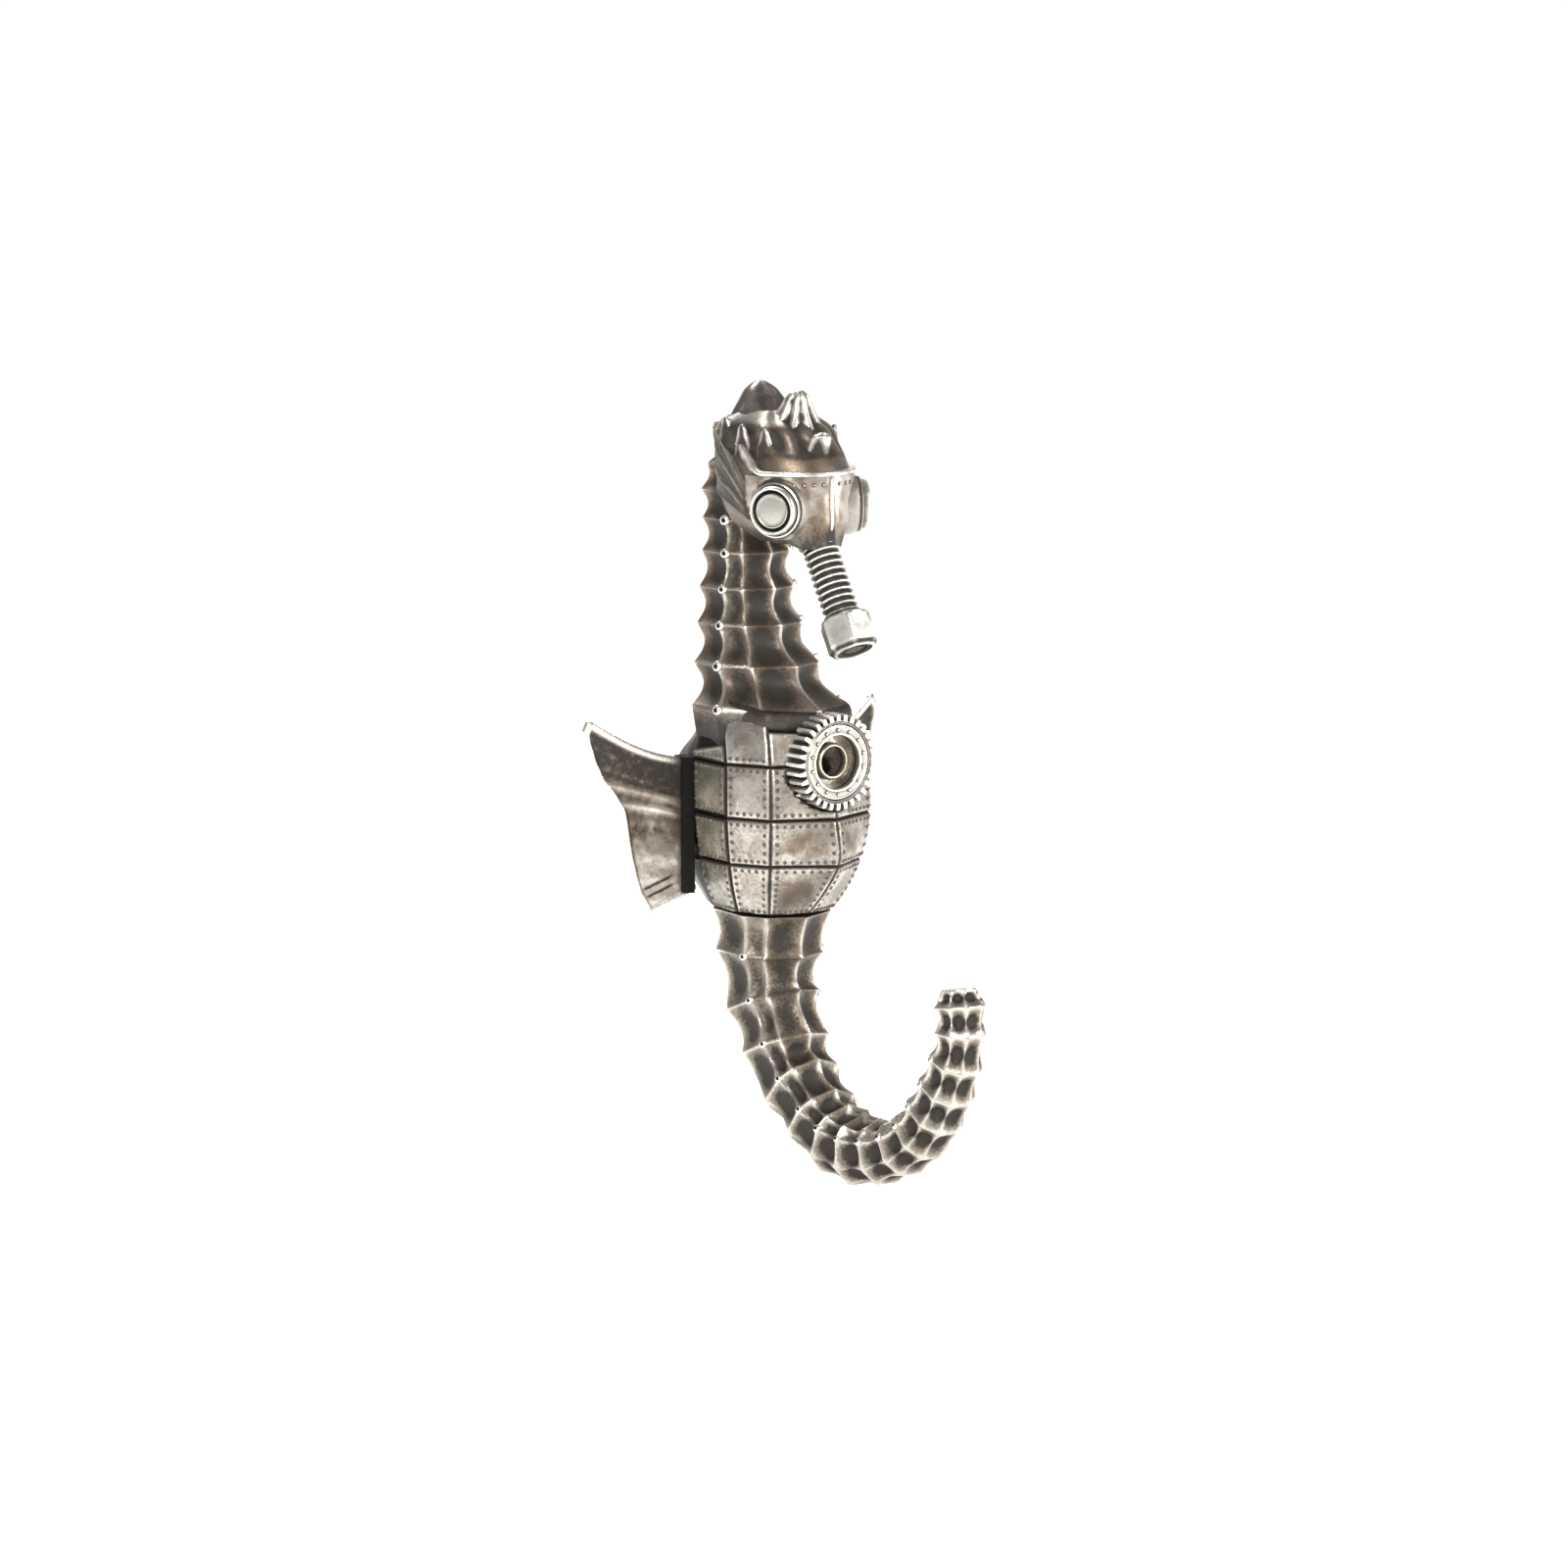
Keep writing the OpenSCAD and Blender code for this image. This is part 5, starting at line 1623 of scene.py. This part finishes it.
    def crown(self) -> None:
        """Makes the horns, the nub and the small spikes."""
        dark = self.horn("crown_hump", (0, 18.5, 79.5), (11.0, 2.4, 13.9), (0, -2.4), 5, 0.05, 0.9, 0.75)
        self.finishes.finish(dark, "horn_pewter", "crown_horn")
        light = self.horn("fluted_crest", (0, 29.5, 78), (10.2, 2.5, 14.2), (0, 2.6), 9, 0.11, 1.45, 0.5)
        self.finishes.finish(light, "crest_pewter", "fluted_horn")
        nub = self.horn("brow_knob", (0, 39, 75.4), (3.6, 2.4, 6.8), (0, 3.4), 4, 0.07, 0.7, 0.9)
        self.finishes.finish(nub, "crest_pewter", "brow_nub")
        rows = ((9.6, 32, 76.4, 2.7, 6.6, 0.6, 1.2), (11, 25, 77.2, 2.7, 6.4, 0, 1.4),
                (10.4, 18, 78.8, 2.9, 6.2, -0.8, 1.2))
        spikes = [self.horn(f"spike_{i}_{side.label}", (side.value * x, f, z), (r, 0.75, h), (out, lean),
                            3, 0.12, 1.1, 0.7)
                  for side in Side for i, (x, f, z, r, h, lean, out) in enumerate(rows)]
        self.finishes.finish(joined("crown_side_spikes", spikes), "crest_pewter", "crown_spikes")

    def build(self) -> None:
        """Makes the whole head."""
        self.skull()
        self.mask()
        self.band()
        for side in Side:
            self.goggle(side)
            self.straps(side)
        self.crown()


# ---------------------------------------------------------------- snout


@dataclass
class Snout:
    """Ribbed hose that hangs from the mask, with a nut at its end."""

    finishes: Finishes
    start: tuple[float, float, float] = (0, -40.8, 54.1)
    tilt: float = 150.4
    hose_start: float = 1.6
    hose_end: float = 20.1
    hose_r: float = 4.8
    ribs: int = 10
    rib_depth: float = 1.15
    nut_length: float = 9.3
    nut_corner: float = 6.85
    mouth: float = 4.4
    mouth_depth: float = 1.2

    @property
    def place(self) -> Matrix:
        """The snout's own frame, +Z down the hose."""
        return Matrix.Translation(self.start) @ Matrix.Rotation(math.radians(self.tilt), 4, "X")

    def turned(self, name: str, profile: Profile, finish: str, node: str) -> None:
        """Makes a turned piece from radii, distances down the hose and recess marks."""
        self.finishes.finish(lathe(name, profile, self.place), finish, node)

    def hose(self) -> None:
        """Makes the ribbed hose and its collar."""
        flange = ((0, -2.5, 1), (5.4, -2.5, 1), (5.45, -0.6, 0.6), (5.3, 0.2, 0.1), (4.95, 0.55, 0.05),
                  (4.3, 0.75, 0.9), (4.25, 1.0, 1), (4.7, 1.15, 0.3), (4.7, 1.45, 0.2), (4.2, 1.6, 1),
                  (0, 1.6, 1))
        self.turned("snout_flange", flange, "bright_pewter", "snout_collar")
        pitch = (self.hose_end - self.hose_start) / self.ribs
        rib = ((0.02, 0), (0.24, 0), (0.32, 0.35), (0.42, 0.85), (0.55, 1.0), (0.68, 0.85), (0.78, 0.35),
               (0.86, 0))
        ribs = [(self.hose_r - self.rib_depth * (1 - rise), self.hose_start + (i + share) * pitch,
                 max(0.0, 1 - 1.05 * rise)) for i in range(self.ribs) for share, rise in rib]
        profile = [(0.0, self.hose_start, 1.0), *ribs, (0.0, self.hose_end, 1.0)]
        self.turned("snout_hose_ribbed", profile, "hose_pewter", "snout_hose")

    def nut(self) -> None:
        """Makes the six-sided nut with chamfered ends and the cap in its mouth."""
        angle = np.radians(np.arange(120) * 3)
        flat = self.nut_corner * math.cos(math.radians(30))
        hexagon = flat / np.cos((angle % (math.pi / 3)) - math.pi / 6)
        corner = step(0.9, 1.0, hexagon / self.nut_corner)
        end = self.nut_length
        ring = 0 * angle
        inside = end - self.mouth_depth
        outer = ((0.0, 5.5, 0.8), (0.35, 6.05, 0.4), (0.9, 6.6, 0.05), (1.5, 7.2, 0.2), (end / 2, 7.2, 0.3),
                 (end - 2.2, 7.2, 0.2), (end - 1.6, 6.75, 0.05), (end - 1.0, 6.15, 0.75),
                 (end - 0.45, 5.75, 0.9), (end - 0.1, 5.5, 0.3), (end, 5.2, 0.2))
        loops = [(np.minimum(hexagon, limit), h, np.clip(shade - 0.25 * corner, 0, 1))
                 for h, limit, shade in outer]
        loops += [(self.mouth + 0.25 + ring, end, 0.15 + ring), (self.mouth + ring, end - 0.3, 0.8 + ring),
                  (self.mouth + ring, inside, 1 + ring), (0.5 + ring, inside, 1 + ring)]
        grid = np.stack([np.stack([r * np.cos(angle), r * np.sin(angle), self.hose_end + h + ring], -1)
                         for r, h, _ in loops])
        grid = grid + 0.05 * ripples(grid, 3, 17)[..., None]
        recess = np.stack([m for *_, m in loops])
        nut = tube("snout_nut_turned", moved(grid, self.place), {"recess": recess}, 28)
        self.finishes.finish(nut, "bright_pewter", "snout_nut")
        low = self.hose_end + end - self.mouth_depth
        cap = ((0, low, 1), (4.3, low, 1), (4.3, low + 0.6, 0.5), (4.1, low + 0.8, 0.3),
               (3.5, low + 0.75, 0.8), (3.3, low + 0.5, 1), (2.4, low + 0.5, 0.9), (2.2, low + 0.75, 0.5),
               (0, low + 0.8, 0.5))
        self.turned("snout_cap_turned", cap, "rivet_metal", "snout_cap")

    def build(self) -> None:
        """Makes the hose and the nut."""
        self.hose()
        self.nut()


# ---------------------------------------------------------------- studio


@dataclass(frozen=True)
class Studio:
    """Floor, lights and camera."""

    azimuth: float = -37.0
    elevation: float = 8.0
    lens: float = 200.0
    frame_width: float = 392.6
    aim_right: float = 15.7
    aim_down: float = 10.8
    aim_depth: float = 40.0
    floor: float = -108.0
    floor_reach: float = 30.0
    horizon: tuple[float, float, float] = (1.0, 1.0, 1.0)
    zenith: tuple[float, float, float] = (0.22, 0.22, 0.22)
    sky_rise: tuple[float, float] = (0.06, 0.55)
    floor_glow: float = 0.72

    def axes(self) -> tuple[Vector, Vector, Vector]:
        """Right, up and back of the camera."""
        a, e = math.radians(self.azimuth), math.radians(self.elevation)
        right = Vector((math.cos(a), math.sin(a), 0))
        back = Vector((math.sin(a) * math.cos(e), -math.cos(a) * math.cos(e), math.sin(e)))
        return right, back.cross(right), back

    def camera(self) -> None:
        """Puts the camera where the hook is seen from."""
        right, up, back = self.axes()
        data = bpy.data.cameras.new("camera")
        data.lens, data.sensor_width, data.sensor_fit = self.lens, 36.0, "HORIZONTAL"
        distance = self.frame_width * self.lens / data.sensor_width
        camera = linked("camera", data)
        target = Vector((0, -self.aim_depth, 0))
        target += right * (self.aim_right - target.dot(right)) - up * (self.aim_down + target.dot(up))
        camera.location = (target + back * distance) * MM
        camera.rotation_mode = "QUATERNION"
        camera.rotation_quaternion = (-back).to_track_quat("-Z", "Y")
        data.clip_start, data.clip_end = 0.05, 100.0
        bpy.context.scene.camera = camera

    def light(self, name: str, place: tuple[float, float, float], size: float, power: float,
              tall: float | None = None) -> None:
        """Adds a soft panel that looks at the hook.

        Args:
            name: the light's name.
            place: where it stands, in metres.
            size: its width in metres.
            power: its power in watts.
            tall: its height, where it isn't square.
        """
        data = bpy.data.lights.new(name, "AREA")
        data.energy, data.size = power, size
        if tall:
            data.shape, data.size_y = "RECTANGLE", tall
        light = linked(name, data)
        light.location = place
        light.rotation_mode = "QUATERNION"
        aim = Vector((0, -self.aim_depth * MM, 0))
        light.rotation_quaternion = (aim - Vector(place)).to_track_quat("-Z", "Y")

    def stage(self) -> None:
        """Makes the floor, then the surroundings."""
        paint = Paint("studio_floor")
        cloud = paint.noise(0.004, 2.0)
        paint.feed("Base Color", paint.mix(cloud, (0.86, 0.86, 0.86, 1), (0.9, 0.9, 0.9, 1)))
        paint.feed("Roughness", 0.6 + cloud * 0.1)
        paint.shader.inputs["Emission Color"].default_value = (1, 1, 1, 1)
        paint.shader.inputs["Emission Strength"].default_value = self.floor_glow
        reach, z = self.floor_reach, self.floor * MM
        mesh = bpy.data.meshes.new("floor")
        mesh.from_pydata([(-reach, -reach, z), (reach, -reach, z), (reach, reach, z), (-reach, reach, z)], [],
                         [(0, 1, 2, 3)])
        floor = linked("floor", mesh)
        mesh.materials.append(paint.material)
        self.sky()

    def sky(self) -> None:
        """Makes the surroundings, bright near the horizon and darker above."""
        world = bpy.data.worlds.new("studio")
        world.use_nodes = True
        tree = world.node_tree
        way = tree.nodes.new("ShaderNodeTexCoord")
        parts = tree.nodes.new("ShaderNodeSeparateXYZ")
        rise = tree.nodes.new("ShaderNodeMapRange")
        rise.inputs["From Min"].default_value, rise.inputs["From Max"].default_value = self.sky_rise
        sky = tree.nodes.new("ShaderNodeMix")
        sky.data_type = "RGBA"
        sky.inputs[6].default_value, sky.inputs[7].default_value = (*self.horizon, 1), (*self.zenith, 1)
        tree.links.new(way.outputs["Generated"], parts.inputs[0])
        tree.links.new(parts.outputs["Z"], rise.inputs["Value"])
        tree.links.new(rise.outputs["Result"], sky.inputs[0])
        tree.links.new(sky.outputs[2], tree.nodes["Background"].inputs["Color"])
        bpy.context.scene.world = world
        bpy.context.scene.view_settings.view_transform = "Standard"

    def build(self) -> None:
        """Sets up the whole studio."""
        self.camera()
        self.stage()
        self.light("key", (-0.75, -0.75, 0.7), 0.5, 14)
        self.light("strip", (0.55, -0.75, 0.25), 0.16, 5.5, 0.9)
        self.light("rim", (0.2, 0.55, 0.8), 0.5, 9)


def dress_frame(finishes: Finishes) -> None:
    """Gives every node of the frame that stays in sight its finish."""
    by_slot = {Slot.ANTIQUE: "head_pewter", Slot.PLATE: "plate_pewter", Slot.BRIGHT: "bright_pewter",
               Slot.DARK: "dark_metal", Slot.SEAL: "black_rubber"}
    chosen = {"gear_hub": "hub_pewter", "thrust_washer": "rivet_metal"}
    slots = {s["node"]: Slot(s["material_slot"]) for s in frame["record"]["subparts"]}
    for name, node in frame["nodes"].items():
        finishes.dress(node, chosen.get(name, by_slot[slots[name]]))


def main() -> None:
    """Builds the studio and the hook, piece by piece."""
    logging.basicConfig(level=logging.INFO, format="%(message)s")
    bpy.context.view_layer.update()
    Studio().build()
    finishes = Finishes()
    dress_frame(finishes)
    studs = Studs(finishes)
    Neck(finishes, studs).build()
    Tail(finishes, studs).build()
    Belly(finishes, studs).build()
    GearStack(finishes, studs).build()
    for side in Side:
        Fin(finishes, side).build()
    Head(finishes, studs).build()
    Snout(finishes).build()


if __name__ == "__main__":
    main()
